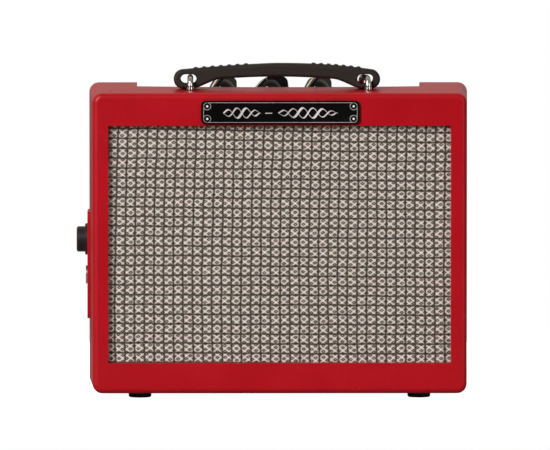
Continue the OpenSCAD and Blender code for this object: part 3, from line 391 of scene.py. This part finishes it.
def lamp_lens():
    """The indicator lamp's clear red body, with flow lines inside."""
    s = Surface("led")
    flow = s.noise(0.8, 3.0, 0.5, (1.0, 1.0, 0.3), 1.0)
    color = s.mix(flow, (0.3, 0.004, 0.004), (0.62, 0.03, 0.02))
    gloss = flow * 0.08 + 0.06
    return s.done(
        color, gloss, flow, depth=0.01, edge=0.1, Transmission_Weight=0.45, Coat_Weight=0.5,
    )


RED_DARK, RED_LIGHT, RED_WORN = (0.385, 0.0018, 0.0072), (0.42, 0.0026, 0.009), (0.56, 0.05, 0.045)
MATERIALS = {
    "red_plastic": plastic(
        "red_plastic", RED_DARK, RED_LIGHT, rough=0.36, grain=0.6, depth=0.012, edge=0.35, spread=0.05,
        wear=RED_WORN, Specular_IOR_Level=0.22,
    ),
    "black_plastic": plastic(
        "black_plastic", (0.006, 0.0055, 0.0055), (0.011, 0.01, 0.01), rough=0.42, grain=0.35, depth=0.03,
        edge=0.25, spread=0.06, wear=(0.09, 0.09, 0.09), Specular_IOR_Level=0.35,
    ),
    "baffle": fibres(
        "baffle", (0.035, 0.022, 0.013), (0.11, 0.07, 0.045), rough=0.6, across=0.6, stretch=(0.2, 1.0, 1.0),
    ),
    "plate": plastic(
        "plate", (0.002, 0.002, 0.002), (0.0035, 0.0035, 0.0035), rough=0.3, grain=1.2, depth=0.002,
        edge=0.2, spread=0.03, wear=(0.05, 0.05, 0.05), Specular_IOR_Level=0.06,
    ),
    "bright": metal(
        "bright", (0.6, 0.58, 0.56), (0.78, 0.76, 0.74), rough=0.24, depth=0.0015, edge=0.1, spread=0.05,
    ),
    "steel": metal(
        "steel", (0.36, 0.35, 0.34), (0.62, 0.61, 0.59), rough=0.34, stretch=(1.0, 0.2, 1.0), depth=0.004,
    ),
    "panel": brushed_panel(),
    "led": lamp_lens(),
    "knob": plastic(
        "knob", (0.002, 0.002, 0.002), (0.004, 0.004, 0.0042), rough=0.12, grain=0.5, depth=0.003,
        edge=0.25, spread=0.03, wear=(0.06, 0.06, 0.06), Specular_IOR_Level=0.4,
    ),
    "board": circuit_board(),
    "chip": plastic(
        "chip", (0.012, 0.012, 0.012), (0.025, 0.025, 0.025), rough=0.5, grain=0.3, depth=0.02, edge=0.1,
    ),
    "capacitor": plastic(
        "capacitor", (0.012, 0.016, 0.075), (0.03, 0.04, 0.16), rough=0.28, grain=1.0, depth=0.01,
        edge=0.3, spread=0.05, wear=(0.2, 0.2, 0.22),
    ),
    "resistor": banded_resistor(),
    "gasket": rubber(
        "gasket", (0.012, 0.012, 0.012), (0.035, 0.035, 0.035), rough=0.7, pebble=0.35, depth=0.06,
    ),
    "basket": plastic(
        "basket", (0.016, 0.016, 0.017), (0.035, 0.035, 0.037), rough=0.36, grain=0.8, depth=0.02,
        edge=0.3, spread=0.06, wear=(0.25, 0.24, 0.23),
    ),
    "suspension": rubber(
        "suspension", (0.01, 0.01, 0.011), (0.03, 0.03, 0.032), rough=0.55, pebble=0.3, depth=0.02,
    ),
    "spider": woven_spider(),
    "ferrite": sintered(),
    "terminal": metal(
        "terminal", (0.42, 0.25, 0.1), (0.72, 0.55, 0.3), rough=0.35, stretch=(1.0, 1.0, 0.2),
    ),
    "paper": fibres(
        "paper", (0.012, 0.012, 0.012), (0.04, 0.038, 0.036), rough=0.6, across=0.5,
        stretch=(1.0, 0.4, 1.0), depth=0.08,
    ),
    "copper": coil_winding(),
    "battery_case": battery_wrap(),
    "strap": rubber(
        "strap", (0.0095, 0.0067, 0.0054), (0.025, 0.018, 0.0145), rough=0.48, pebble=0.42, depth=0.03,
        edge=0.3, Specular_IOR_Level=0.24,
    ),
    "foot": rubber("foot", (0.007, 0.007, 0.007), (0.022, 0.022, 0.022), rough=0.6, pebble=0.5, depth=0.03),
}
# Each lead's colour starts at a place along x or y, in mm, that lies between two leads
between_battery_leads = sum(v.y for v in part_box("battery_leads")) / 2 / MM
between_speaker_leads = sum(v.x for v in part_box("speaker_leads")) / 2 / MM
# Pieces whose material differs from their slot's
SPECIAL = {
    "nameplate_pins": pin_metal(),
    "loop_ferrules": ferrule_metal(),
    "battery_leads": insulation(
        "battery_lead", "y", ((0, (0.018, 0.018, 0.018)), (between_battery_leads, (0.42, 0.012, 0.01))),
    ),
    "speaker_leads": insulation(
        "speaker_lead", "x", ((0, (0.02, 0.02, 0.02)), (between_speaker_leads, (0.5, 0.5, 0.48))),
    ),
    "socket_leads": insulation(
        "socket_lead", "y", ((0, (0.36, 0.33, 0.05)), (19.5, (0.03, 0.1, 0.4)), (22.5, (0.45, 0.45, 0.43))),
    ),
}
SLOTS = {part["node"]: part["material_slot"] for part in frame["record"]["subparts"]}


# --- Mesh helpers --------------------------------------------------------------------------------
def piece(name, vertices, faces, material, body, flat=()):
    """A mesh piece that rides on a body. Faces whose index is in flat aren't smoothed."""
    mesh = bpy.data.meshes.new(name)
    mesh.from_pydata([tuple(v) for v in vertices], [], faces)
    mesh.validate()
    mesh.update()
    mesh.polygons.foreach_set("use_smooth", [i not in flat for i in range(len(mesh.polygons))])
    mesh.materials.append(material)
    obj = bpy.data.objects.new(name, mesh)
    SCENE.collection.objects.link(obj)
    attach(obj, body)
    return obj


STRIP_TOP = 0.86  # how wide a strip's top is, as a share of its foot


class Strips:
    """Thin raised strips gathered into one mesh."""

    def __init__(self):
        self.vertices, self.faces = [], []

    def add(self, path, side, up, half, thick, closed=False):
        """A strip along path. side and up are unit vectors, either one or one for each point, and half is
        its half width."""
        path = np.asarray(path, float)
        n, first = len(path), len(self.vertices)
        side = np.broadcast_to(np.asarray(side, float), (n, 3))
        up = np.broadcast_to(np.asarray(up, float), (n, 3))
        half = np.broadcast_to(np.asarray(half, float), (n,))[:, None]
        rows = [
            path - side * half,
            path - side * half * STRIP_TOP + up * thick,
            path + side * half * STRIP_TOP + up * thick,
            path + side * half,
        ]
        self.vertices += [tuple(rows[k][i]) for i in range(n) for k in range(4)]
        for i in range(n if closed else n - 1):
            a, b = first + 4 * i, first + 4 * ((i + 1) % n)
            self.faces += [(a + k, b + k, b + (k + 1) % 4, a + (k + 1) % 4) for k in range(4)]
        if not closed:
            self.faces.append(tuple(first + k for k in range(4)))
            self.faces.append(tuple(first + 4 * (n - 1) + k for k in (3, 2, 1, 0)))

    def piece(self, name, material, body, slot):
        """Makes the strips a piece that rides on a body."""
        obj = piece(name, self.vertices, self.faces, material, body, range(len(self.faces)))
        work = bmesh.new()
        work.from_mesh(obj.data)
        bmesh.ops.recalc_face_normals(work, faces=work.faces)
        work.to_mesh(obj.data)
        work.free()
        return obj


# --- Camera, light and floor -------------------------------------------------------------------------
CAMERA_TARGET = Vector((0.001037, 0.0005, 0.077228))
CAMERA_BACK = Vector((-0.00880, -0.99865, 0.05122)).normalized()
CAMERA_DISTANCE = 4.683
camera = bpy.data.objects.new("camera", bpy.data.cameras.new("camera"))
SCENE.collection.objects.link(camera)
camera.location = CAMERA_TARGET + CAMERA_BACK * CAMERA_DISTANCE
camera.rotation_mode = "QUATERNION"
camera.rotation_quaternion = CAMERA_BACK.to_track_quat("Z", "Y")
camera.data.sensor_width, camera.data.lens = 36.0, 670.2
camera.data.clip_start, camera.data.clip_end = 0.1, 50.0
SCENE.camera = camera
SCENE.view_settings.view_transform = "Standard"


LIGHT_TARGET = Vector((0.0, 0.0, 0.07))


def soft_light(name, place, width, height, power, tint=(1.0, 1.0, 1.0), mirrored=True):
    """A rectangular soft light that looks at the object's middle. Only gloss shows it, if mirrored."""
    data = bpy.data.lights.new(name, "AREA")
    data.shape, data.size, data.size_y = "RECTANGLE", width, height
    data.energy, data.color = power, tint
    light = bpy.data.objects.new(name, data)
    light.location = place
    light.rotation_mode = "QUATERNION"
    light.rotation_quaternion = (Vector(place) - LIGHT_TARGET).to_track_quat("Z", "Y")
    light.visible_camera = False
    light.visible_glossy = mirrored
    SCENE.collection.objects.link(light)


soft_light("key", (-1.15, -1.55, 1.0), width=0.75, height=1.2, power=48.0, tint=(1.0, 0.985, 0.965))
soft_light("fill", (1.35, -1.6, 0.5), width=0.35, height=1.2, power=8.0)
soft_light("rear", (0.5, 2.0, 1.1), width=1.6, height=0.9, power=14.0, mirrored=False)

# The world is white to the camera. To the object it glows warmly, most from behind it and from above
WALL_GLOW, SKY_GLOW, BASE_GLOW = 0.38, 0.16, 0.05
UNSEEN_TINT, SEEN_TINT = (1.0, 0.92, 0.86, 1.0), (1.0, 1.0, 1.0, 1.0)
world = bpy.data.worlds.new("studio")
SCENE.world = world
world.use_nodes = True
nodes, links = world.node_tree.nodes, world.node_tree.links
background = nodes["Background"]
direction = nodes.new("ShaderNodeTexCoord")
split = nodes.new("ShaderNodeSeparateXYZ")
links.new(direction.outputs["Generated"], split.inputs[0])
behind, above = Field(split.outputs["Y"]), Field(split.outputs["Z"])
wall = smooth(behind, -0.3, 0.4) * smooth(above, -0.07, -0.02) * WALL_GLOW
glow = wall + smooth(above, 0.15, 0.75) * SKY_GLOW + BASE_GLOW
seen = nodes.new("ShaderNodeLightPath")
strength = most(glow, Field(seen.outputs["Is Camera Ray"]))
links.new(strength.socket, background.inputs["Strength"])
warmth = nodes.new("ShaderNodeMix")
warmth.data_type = "RGBA"
warmth.inputs[6].default_value, warmth.inputs[7].default_value = UNSEEN_TINT, SEEN_TINT
links.new(seen.outputs["Is Camera Ray"], warmth.inputs[0])
links.new(warmth.outputs[2], background.inputs["Color"])

FLOOR_LOW, FLOOR_HIGH = (-1.2, -0.32), (1.2, 0.38)
FLOOR_UNSEEN = (0.3, 0.29, 0.28)  # its colour to the object
floor_mesh = bpy.data.meshes.new("floor")
floor_corners = [(x, y, 0.0) for y in (FLOOR_LOW[1], FLOOR_HIGH[1]) for x in (FLOOR_LOW[0], FLOOR_HIGH[0])]
floor_mesh.from_pydata(floor_corners, [], [(0, 1, 3, 2)])
floor_obj = bpy.data.objects.new("floor", floor_mesh)
SCENE.collection.objects.link(floor_obj)
# The floor is white to the camera too, and darker to the object
paint = Surface("floor")
seen_floor = Field(paint.node("ShaderNodeLightPath").outputs["Is Camera Ray"])
floor_white = paint.mix(paint.noise(300.0), (0.9, 0.9, 0.9), (0.94, 0.94, 0.94))
floor_mesh.materials.append(
    paint.done(
        paint.mix(seen_floor, FLOOR_UNSEEN, floor_white),
        paint.noise(40.0) * 0.1 + 0.75,
        Specular_IOR_Level=0.2,
        Emission_Color=(1.0, 1.0, 1.0),
        Emission_Strength=seen_floor,
    )
)

# --- Grille cloth ------------------------------------------------------------------------------------
CLOTH_LOW, CLOTH_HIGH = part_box("grille_cloth")
CLOTH_MIDDLE = (CLOTH_LOW + CLOTH_HIGH) / 2
CLOTH_HEM_MM = 2.7  # how far the cloth goes on behind the frame
COLUMN_MM, COLUMN_AT = 4.403, -4.35  # dark upright lines
ROW_MM, ROW_AT = 4.418, -49.67
CLOTH_HALF_W, CLOTH_HALF_H = 77.0, 53.0  # the seen half width and height
RING_W, RING_H, RING_AT = 3.565, 2.70, (-19.49, 1.28)  # the net's pitch, and the middle of one hole
RING_LEAN = 0.035
THREAD_FROM, THREAD_TO = 0.245, 0.36  # where a hole of the net ends, as a share of the pitch
CLOTH_STEP_MM = 0.36  # between the points of the cloth's mesh
RELIEF_MM, LINE_SUNK_MM, CLOTH_BACK_MM = 0.3, 0.12, 0.06  # CLOTH_BACK_MM is from grille_cloth's front


def weave(u, w):
    """The cloth at u across and w up from its middle, in mm: (thread, knot, dot, line), each from 0 to 1.
    thread is the light net, knot where two of its threads cross, dot the pale middle of a hole between them,
    and line the dark threads round the squares."""
    # The threads wander a little, and the upright and level lines drift and sag over the board
    u, w = (
        u + 0.12 * sine(w * 0.41 + 0.5) + 0.14 * sine(u * 0.11 + w * 0.07),
        w + 0.10 * sine(u * 0.37 + 2.0) + 0.12 * sine(w * 0.13 + u * 0.05 + 1.0),
    )
    a, b = u / CLOTH_HALF_W, w / CLOTH_HALF_H
    drift_left = 0.2 + b * (0.8 + 0.88 * b)
    drift_right = -0.18 + b * (0.14 + 0.32 * b)
    drift = drift_left + (drift_right - drift_left) * smooth(a, -0.1, 0.9)
    sag = 0.18 + 0.25 * b + a * (0.73 + 0.41 * b)
    column = (u - drift - COLUMN_AT) / COLUMN_MM
    row = (w + sag - ROW_AT) / ROW_MM
    line = most(
        smooth(size(column - floor(column + 0.5)) * COLUMN_MM, 0.72, 0.2),
        smooth(size(row - floor(row + 0.5)) * ROW_MM, 0.7, 0.2),
    )
    p = (u - RING_AT[0]) / RING_W
    q = (w - RING_AT[1] - RING_LEAN * (u - RING_AT[0])) / RING_H
    f, g = p + q, p - q
    f, g = size(f - floor(f + 0.5)), size(g - floor(g + 0.5))
    along, across = smooth(f, THREAD_FROM, THREAD_TO), smooth(g, THREAD_FROM, THREAD_TO)
    return most(along, across), along * across, smooth(f * f + g * g, 0.026, 0.003), line


def cloth_material():
    """The cloth's colours and small relief, from the same weave as its mesh."""
    s = Surface("cloth")
    u, w = s.x - CLOTH_MIDDLE.x / MM, s.z - CLOTH_MIDDLE.z / MM
    thread, knot, dot, line = weave(u, w)
    strand = s.noise(0.32, 3.0, 0.7)
    patch = s.noise(1.7, 3.0, 0.6)
    # knot lightens the colour where two threads cross: a painted highlight
    lift = thread * 0.68 + knot * 0.32 + dot * 0.5 + (patch - 0.5) * 0.8 + (strand - 0.5) * 0.5
    color = s.mix(smooth(lift, -0.1, 1.1), (0.053, 0.041, 0.032), (0.76, 0.675, 0.607))
    color = s.mix(line * 0.92 + (patch - 0.5) * 0.2 * line, color, (0.032, 0.023, 0.0165))
    height = thread * 0.6 + dot * 0.2 - line * 0.5 + strand * 0.35
    gloss = strand * 0.2 + 0.72
    return s.done(color, gloss, height, depth=0.12, Sheen_Weight=0.12, Specular_IOR_Level=0.2)


MATERIALS["cloth"] = cloth_material()
for node, obj in frame["nodes"].items():
    obj.data.materials.clear()
    obj.data.materials.append(SPECIAL[node] if node in SPECIAL else MATERIALS[SLOTS[node]])

width_mm, height_mm = (CLOTH_HIGH.x - CLOTH_LOW.x) / MM, (CLOTH_HIGH.z - CLOTH_LOW.z) / MM
columns, rows = int(width_mm / CLOTH_STEP_MM) + 1, int(height_mm / CLOTH_STEP_MM) + 1
across, up = np.meshgrid(
    np.linspace(-width_mm / 2, width_mm / 2, columns),
    np.linspace(-height_mm / 2, height_mm / 2, rows),
)
thread, knot, dot, line = weave(across, up)
inside = np.minimum(width_mm / 2 - CLOTH_HEM_MM - np.abs(across), height_mm / 2 - CLOTH_HEM_MM - np.abs(up))
relief = (thread * 0.6 + knot * 0.2 + dot * 0.2) * (1 - line) * smooth(inside, 0.0, 0.5) * RELIEF_MM
sunk = CLOTH_LOW.y / MM + CLOTH_BACK_MM + LINE_SUNK_MM * line * (inside > 0)
grid = np.stack([across + CLOTH_MIDDLE.x / MM, sunk - relief, up + CLOTH_MIDDLE.z / MM], -1)
grid = grid.reshape(-1, 3) * MM
index = np.arange(rows * columns).reshape(rows, columns)
quads = np.stack([index[:-1, :-1], index[:-1, 1:], index[1:, 1:], index[1:, :-1]], -1).reshape(-1, 4)
cloth = piece("grille_weave", grid.tolist(), quads.tolist(), MATERIALS["cloth"], "housing")
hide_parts("grille_cloth")

# --- Nameplate: border, rings round the pins, and an ornament in place of lettering ------------------
PLATE_LOW, PLATE_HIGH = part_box("nameplate")
plate_middle = (PLATE_LOW + PLATE_HIGH) / 2
PRINT_MM, LINE_HALF_MM = 0.05, 0.125  # how far print stands out, and a border line's half width
SUNK_MM = 0.01  # print starts this far inside a face
PIN_X_MM, PIN_Z_MM, RING_R_MM, RING_POINTS = 33.2, 2.85, 1.62, 40


def on_plate(points):
    """Points given across and up from the plate's middle in mm, just inside its front face."""
    return [(plate_middle.x + x * MM, PLATE_LOW.y + SUNK_MM * MM, plate_middle.z + z * MM) for x, z in points]


def sides_of(points):
    """The unit vectors square to a line in the plate's face."""
    along = np.gradient(np.asarray(points, float), axis=0)
    along /= np.linalg.norm(along, axis=1)[:, None]
    return np.stack([-along[:, 1], np.zeros(len(along)), along[:, 0]], -1)


FORWARD = (0.0, -1.0, 0.0)
border = Strips()
for sx in (-1, 1):
    for sz in (-1, 1):
        turn = np.linspace(0, 2 * math.pi, RING_POINTS, endpoint=False)
        cos, sin = np.cos(turn), np.sin(turn)
        ring = np.stack([sx * PIN_X_MM + RING_R_MM * cos, sz * PIN_Z_MM + RING_R_MM * sin], -1)
        out = np.stack([cos, 0 * turn, sin], -1)
        border.add(on_plate(ring), out, FORWARD, LINE_HALF_MM * MM, PRINT_MM * MM, closed=True)
for s in (-1, 1):
    level, edge_x = s * (PIN_Z_MM + RING_R_MM), s * (PIN_X_MM + RING_R_MM)
    for ends, across in (
        ([(-PIN_X_MM, level), (PIN_X_MM, level)], (0, 0, 1)),
        ([(edge_x, -PIN_Z_MM), (edge_x, PIN_Z_MM)], (1, 0, 0)),
    ):
        border.add(on_plate(ends), across, FORWARD, LINE_HALF_MM * MM, PRINT_MM * MM)
grey_print = plastic("grey_print", (0.3, 0.29, 0.28), (0.45, 0.43, 0.42), rough=0.4, grain=0.4, edge=0.0)
border.piece("nameplate_border", grey_print, "housing", "plate")

ornament = Strips()
WAVES = ((-26.0, -9.0, 4.0), (-1.0, 26.0, 6.0))  # where a run of waves starts and ends, and half waves
STROKES = ((0.0, 0.44), (math.pi, 0.22))  # a stroke's phase, and how much wider it is where it rises
STROKE_POINTS = 90
WAVE_HIGH_MM, WAVE_DROP_MM, WAVE_THIN_MM = 2.3, 0.2, 0.12
OVER_MM = 0.012  # the second wave passes this far over the first
DASH_FROM_MM, DASH_TO_MM, DASH_AT_MM, DASH_HALF_MM = -6.9, -3.7, -0.3, 0.17
for start, end, waves in WAVES:
    t = np.linspace(0.0, 1.0, STROKE_POINTS)
    swell = np.sin(np.pi * np.clip(t * 1.04, 0, 1)) ** 0.5
    for phase, heavy in STROKES:
        wave = WAVE_HIGH_MM * swell * np.sin(waves * math.pi * t + phase)
        line_points = np.stack([start + (end - start) * t, wave - WAVE_DROP_MM], -1)
        slope = np.gradient(wave, t) / (end - start)
        stroke = WAVE_THIN_MM + heavy * np.clip(0.5 + 0.5 * np.tanh(slope * 2.0), 0, 1)
        half = stroke * (0.35 + 0.65 * swell)
        lift = OVER_MM * MM if phase else 0.0
        points = [(x, y - lift, z) for x, y, z in on_plate(line_points)]
        ornament.add(points, sides_of(line_points), FORWARD, half * MM, PRINT_MM * MM)
dash = on_plate([(DASH_FROM_MM, DASH_AT_MM), (DASH_TO_MM, DASH_AT_MM)])
ornament.add(dash, (0, 0, 1), FORWARD, DASH_HALF_MM * MM, PRINT_MM * MM)
pale_print = plastic("pale_print", (0.55, 0.49, 0.5), (0.74, 0.67, 0.69), rough=0.42, grain=0.4, edge=0.0)
ornament.piece("nameplate_ornament", pale_print, "housing", "plate")

# --- Knob pointer lines and the panel's dial marks ---------------------------------------------------
PANEL_UP = Vector((0.0, math.sin(PANEL_SLOPE), math.cos(PANEL_SLOPE)))
PANEL_DOWN = Vector((0.0, math.cos(PANEL_SLOPE), -math.sin(PANEL_SLOPE)))
POINTER_TURNS = {"volume": -131.0, "tone": -158.0, "drive": -131.0}  # from +X at rest, seen from above
POINTER_SHIFT_MM = {"volume": 0.0, "tone": 0.7, "drive": 0.0}  # towards the front
POINTER_FROM_MM, POINTER_TO_MM, POINTER_STEPS = -3.0, 10.1, 60  # from the knob's axis
POINTER_HALF_MM, POINTER_THICK_MM, POINTER_SUNK_MM = 0.56, 0.07, 0.02
MARK_FROM_MM, MARK_TO_MM, LONG_MARK_TO_MM = 9.4, 10.4, 11.0
MARK_HALF_MM, MARK_THICK_MM = 0.2, 0.04
MARK_COUNT, FIRST_MARK, MARK_EACH = 11, -120.0, 30.0  # in degrees, clockwise, and every fifth is long
ABOVE_KNOB, ABOVE_PANEL = PANEL_UP * 0.04, PANEL_UP * 0.02  # where the rays start
cream = plastic("cream_print", (0.6, 0.5, 0.36), (0.74, 0.64, 0.48), rough=0.42, grain=0.4, edge=0.0)
dial_print = plastic("dial_print", (0.02, 0.02, 0.02), (0.04, 0.04, 0.04), rough=0.5, grain=0.4, edge=0.0)
graph = bpy.context.evaluated_depsgraph_get()
panel_tree = BVHTree.FromObject(frame["nodes"]["control_panel"], graph)
marks = Strips()


def spoke(degrees):
    """A unit vector along the panel, at an angle from +X seen from above."""
    a = math.radians(degrees)
    return Vector((math.cos(a), 0.0, 0.0)) + PANEL_DOWN * math.sin(a)


for control, turn in POINTER_TURNS.items():
    joint = next(j for j in frame["joints"] if j["name"] == f"{control}_turn")
    axis_at = Vector(joint["pos_m"])
    out = spoke(turn)
    side = PANEL_UP.cross(out).normalized()
    tree = BVHTree.FromObject(frame["nodes"][f"{control}_knob"], graph)
    path, ups = [], []
    for r in np.linspace(POINTER_FROM_MM, POINTER_TO_MM, POINTER_STEPS):
        start = axis_at + out * (r * MM) + side * (POINTER_SHIFT_MM[control] * MM) + ABOVE_KNOB
        hit, normal, _, _ = tree.ray_cast(start, -PANEL_UP)
        if hit is not None:
            path.append(hit - PANEL_UP * POINTER_SUNK_MM * MM)
            ups.append((normal - side * normal.dot(side)).normalized())
    path, ups = [tuple(p) for p in path], [tuple(n) for n in ups]
    strip = Strips()
    strip.add(path, tuple(side), ups, POINTER_HALF_MM * MM, POINTER_THICK_MM * MM)
    strip.piece(f"{control}_pointer_line", cream, f"{control}_control", "knob")
    for k in range(MARK_COUNT):
        ray = spoke(FIRST_MARK - MARK_EACH * k)
        across_ray = PANEL_UP.cross(ray).normalized()
        ends = []
        for r in (MARK_FROM_MM, MARK_TO_MM if k % 5 else LONG_MARK_TO_MM):
            hit, _, _, _ = panel_tree.ray_cast(axis_at + ray * (r * MM) + ABOVE_PANEL, -PANEL_UP)
            if hit is not None:
                ends.append(tuple(hit - PANEL_UP * SUNK_MM * MM))
        if len(ends) == 2:
            marks.add(ends, tuple(across_ray), tuple(PANEL_UP), MARK_HALF_MM * MM, MARK_THICK_MM * MM)
marks.piece("dial_marks", dial_print, "housing", "panel")

# --- Handle ------------------------------------------------------------------------------------------
# The outline repeats part.scad's, in mm: u is the share of the way from the middle to where an end's
# round starts.
HANDLE_LOW, HANDLE_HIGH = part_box("handle")
END_H, TOP_H, GAP_H, ARCH = 8.7, 11.5, 5.5, 2.9
FALL_LEFT, FALL_RIGHT = 1.35, 2.3
RISE_IN, RISE_OUT = 0.6, 0.89
HOLE_X, HOLE_Z, HOLE_L, HOLE_H = 40.25, 4.5, 7.2, 4.2
RIDGE_COUNT = 7
LEFT_RIDGES = [-14.1 - 3.82 * i for i in range(RIDGE_COUNT)]
RIDGES = LEFT_RIDGES + [16.8 + 3.42 * i for i in range(RIDGE_COUNT)]
RIDGE_H, RIDGE_W = 0.5, 1.9
RIDGE_OUT, RIDGE_IN = 0.12, 0.3  # a ridge's side starts and ends this far out of and into its width
RIDGE_END, RIDGE_FULL = 0.9, 1.7  # how far from the front and rear faces it ends and has its height
FLAT = (HANDLE_HIGH.x - HANDLE_LOW.x) / 2 / MM - END_H / 2
HANDLE_W = (HANDLE_HIGH.y - HANDLE_LOW.y) / MM
EDGE_R, HOLE_EDGE_R = 1.3, 0.5
TOP_STEPS, UNDER_STEPS, END_STEPS, HOLE_STEPS, EDGE_STEPS, WALL_STEPS = 300, 200, 26, 20, 6, 9


def handle_outline():
    """The handle's outline without its ridges, across and up in mm, against the clock, and how much
    ridge each point has."""
    u = np.linspace(1.0, -1.0, TOP_STEPS)
    fall = np.abs(u) ** np.where(u < 0, FALL_LEFT, FALL_RIGHT)
    top = np.stack([u * FLAT, END_H + (TOP_H - END_H) * (1 - fall)], -1)
    a = np.linspace(math.pi / 2, 3 * math.pi / 2, END_STEPS)[1:-1]
    left = np.stack([-FLAT + END_H / 2 * np.cos(a), END_H / 2 + END_H / 2 * np.sin(a)], -1)
    u = np.linspace(-1.0, 1.0, UNDER_STEPS)
    t = np.clip((RISE_OUT - np.abs(u)) / (RISE_OUT - RISE_IN), 0, 1)
    under = np.stack([u * FLAT, t * (1 + t - t * t) * (GAP_H - ARCH * u * u)], -1)
    a = np.linspace(-math.pi / 2, math.pi / 2, END_STEPS)[1:-1]
    right = np.stack([FLAT + END_H / 2 * np.cos(a), END_H / 2 + END_H / 2 * np.sin(a)], -1)
    ridge = np.zeros(len(top))
    for x in RIDGES:
        away = np.abs(top[:, 0] - x)
        ridge = np.maximum(ridge, smooth(away, RIDGE_W / 2 + RIDGE_OUT, RIDGE_W / 2 - RIDGE_IN))
    outline = np.concatenate([top, left, under, right])
    return outline, np.concatenate([ridge, np.zeros(len(outline) - len(ridge))])


def out_of(loop):
    """Unit vectors that point out of a closed loop that runs against the clock."""
    along = np.roll(loop, -1, 0) - np.roll(loop, 1, 0)
    along /= np.linalg.norm(along, axis=1)[:, None]
    return np.stack([along[:, 1], -along[:, 0]], -1)


def slot_loop(middle_x):
    """A hole's outline, against the clock."""
    a = np.linspace(-math.pi / 2, math.pi / 2, HOLE_STEPS)
    straight = HOLE_L / 2 - HOLE_H / 2
    right = np.stack([middle_x + straight + HOLE_H / 2 * np.cos(a), HOLE_Z + HOLE_H / 2 * np.sin(a)], -1)
    left = np.stack([middle_x - straight - HOLE_H / 2 * np.cos(a), HOLE_Z - HOLE_H / 2 * np.sin(a)], -1)
    return np.concatenate([right, left])


def wall(loop, ridge, edge_r, grow):
    """Rings of points from the front to the rear of a wall with rounded edges, in mm about the middle.
    grow is 1 for the outside, which draws in at the edges, and -1 for a hole, which opens out."""
    out = out_of(loop)
    a = np.linspace(0, math.pi / 2, EDGE_STEPS + 1)
    front = [(-HANDLE_W / 2 + edge_r * (1 - math.sin(x)), edge_r * (1 - math.cos(x))) for x in a[::-1]]
    straight = np.linspace(-HANDLE_W / 2 + edge_r, HANDLE_W / 2 - edge_r, WALL_STEPS)
    middle = [(y, 0.0) for y in straight[1:-1]]
    rings = []
    for y, inset in front + middle + [(-y, inset) for y, inset in reversed(front)]:
        share = float(smooth(abs(y), HANDLE_W / 2 - RIDGE_END, HANDLE_W / 2 - RIDGE_FULL))
        raised = ridge * RIDGE_H * share
        p = loop - out * (inset * grow) + out * raised[:, None]
        rings.append(np.stack([p[:, 0], np.full(len(p), y), p[:, 1]], -1))
    return rings


def build_handle():
    """The grip: its outside and its two holes as closed walls, with flat front and rear faces between."""
    outline, ridge = handle_outline()
    loops = [wall(outline, ridge, EDGE_R, 1)]
    loops += [wall(slot_loop(x), np.zeros(2 * HOLE_STEPS), HOLE_EDGE_R, -1) for x in (-HOLE_X, HOLE_X)]
    origin = np.array([(HANDLE_LOW.x + HANDLE_HIGH.x) / 2, (HANDLE_LOW.y + HANDLE_HIGH.y) / 2, HANDLE_LOW.z])
    work = bmesh.new()
    caps = ([], [])
    for rings in loops:
        made = [[work.verts.new(origin + p * MM) for p in ring] for ring in rings]
        n = len(made[0])
        for a, b in zip(made, made[1:]):
            for i in range(n):
                work.faces.new((a[i], a[(i + 1) % n], b[(i + 1) % n], b[i])).smooth = True
        for cap, ring in zip(caps, (made[0], made[-1])):
            cap += [work.edges.get((ring[i], ring[(i + 1) % n])) for i in range(n)]
    for cap in caps:
        for face in bmesh.ops.triangle_fill(work, use_beauty=True, use_dissolve=False, edges=cap)["geom"]:
            if isinstance(face, bmesh.types.BMFace):
                face.smooth = False
    bmesh.ops.recalc_face_normals(work, faces=work.faces)
    mesh = bpy.data.meshes.new("grip")
    work.to_mesh(mesh)
    work.free()
    mesh.materials.append(MATERIALS["strap"])
    obj = bpy.data.objects.new("handle_grip", mesh)
    SCENE.collection.objects.link(obj)
    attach(obj, "handle_strap")
    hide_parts("handle")


build_handle()
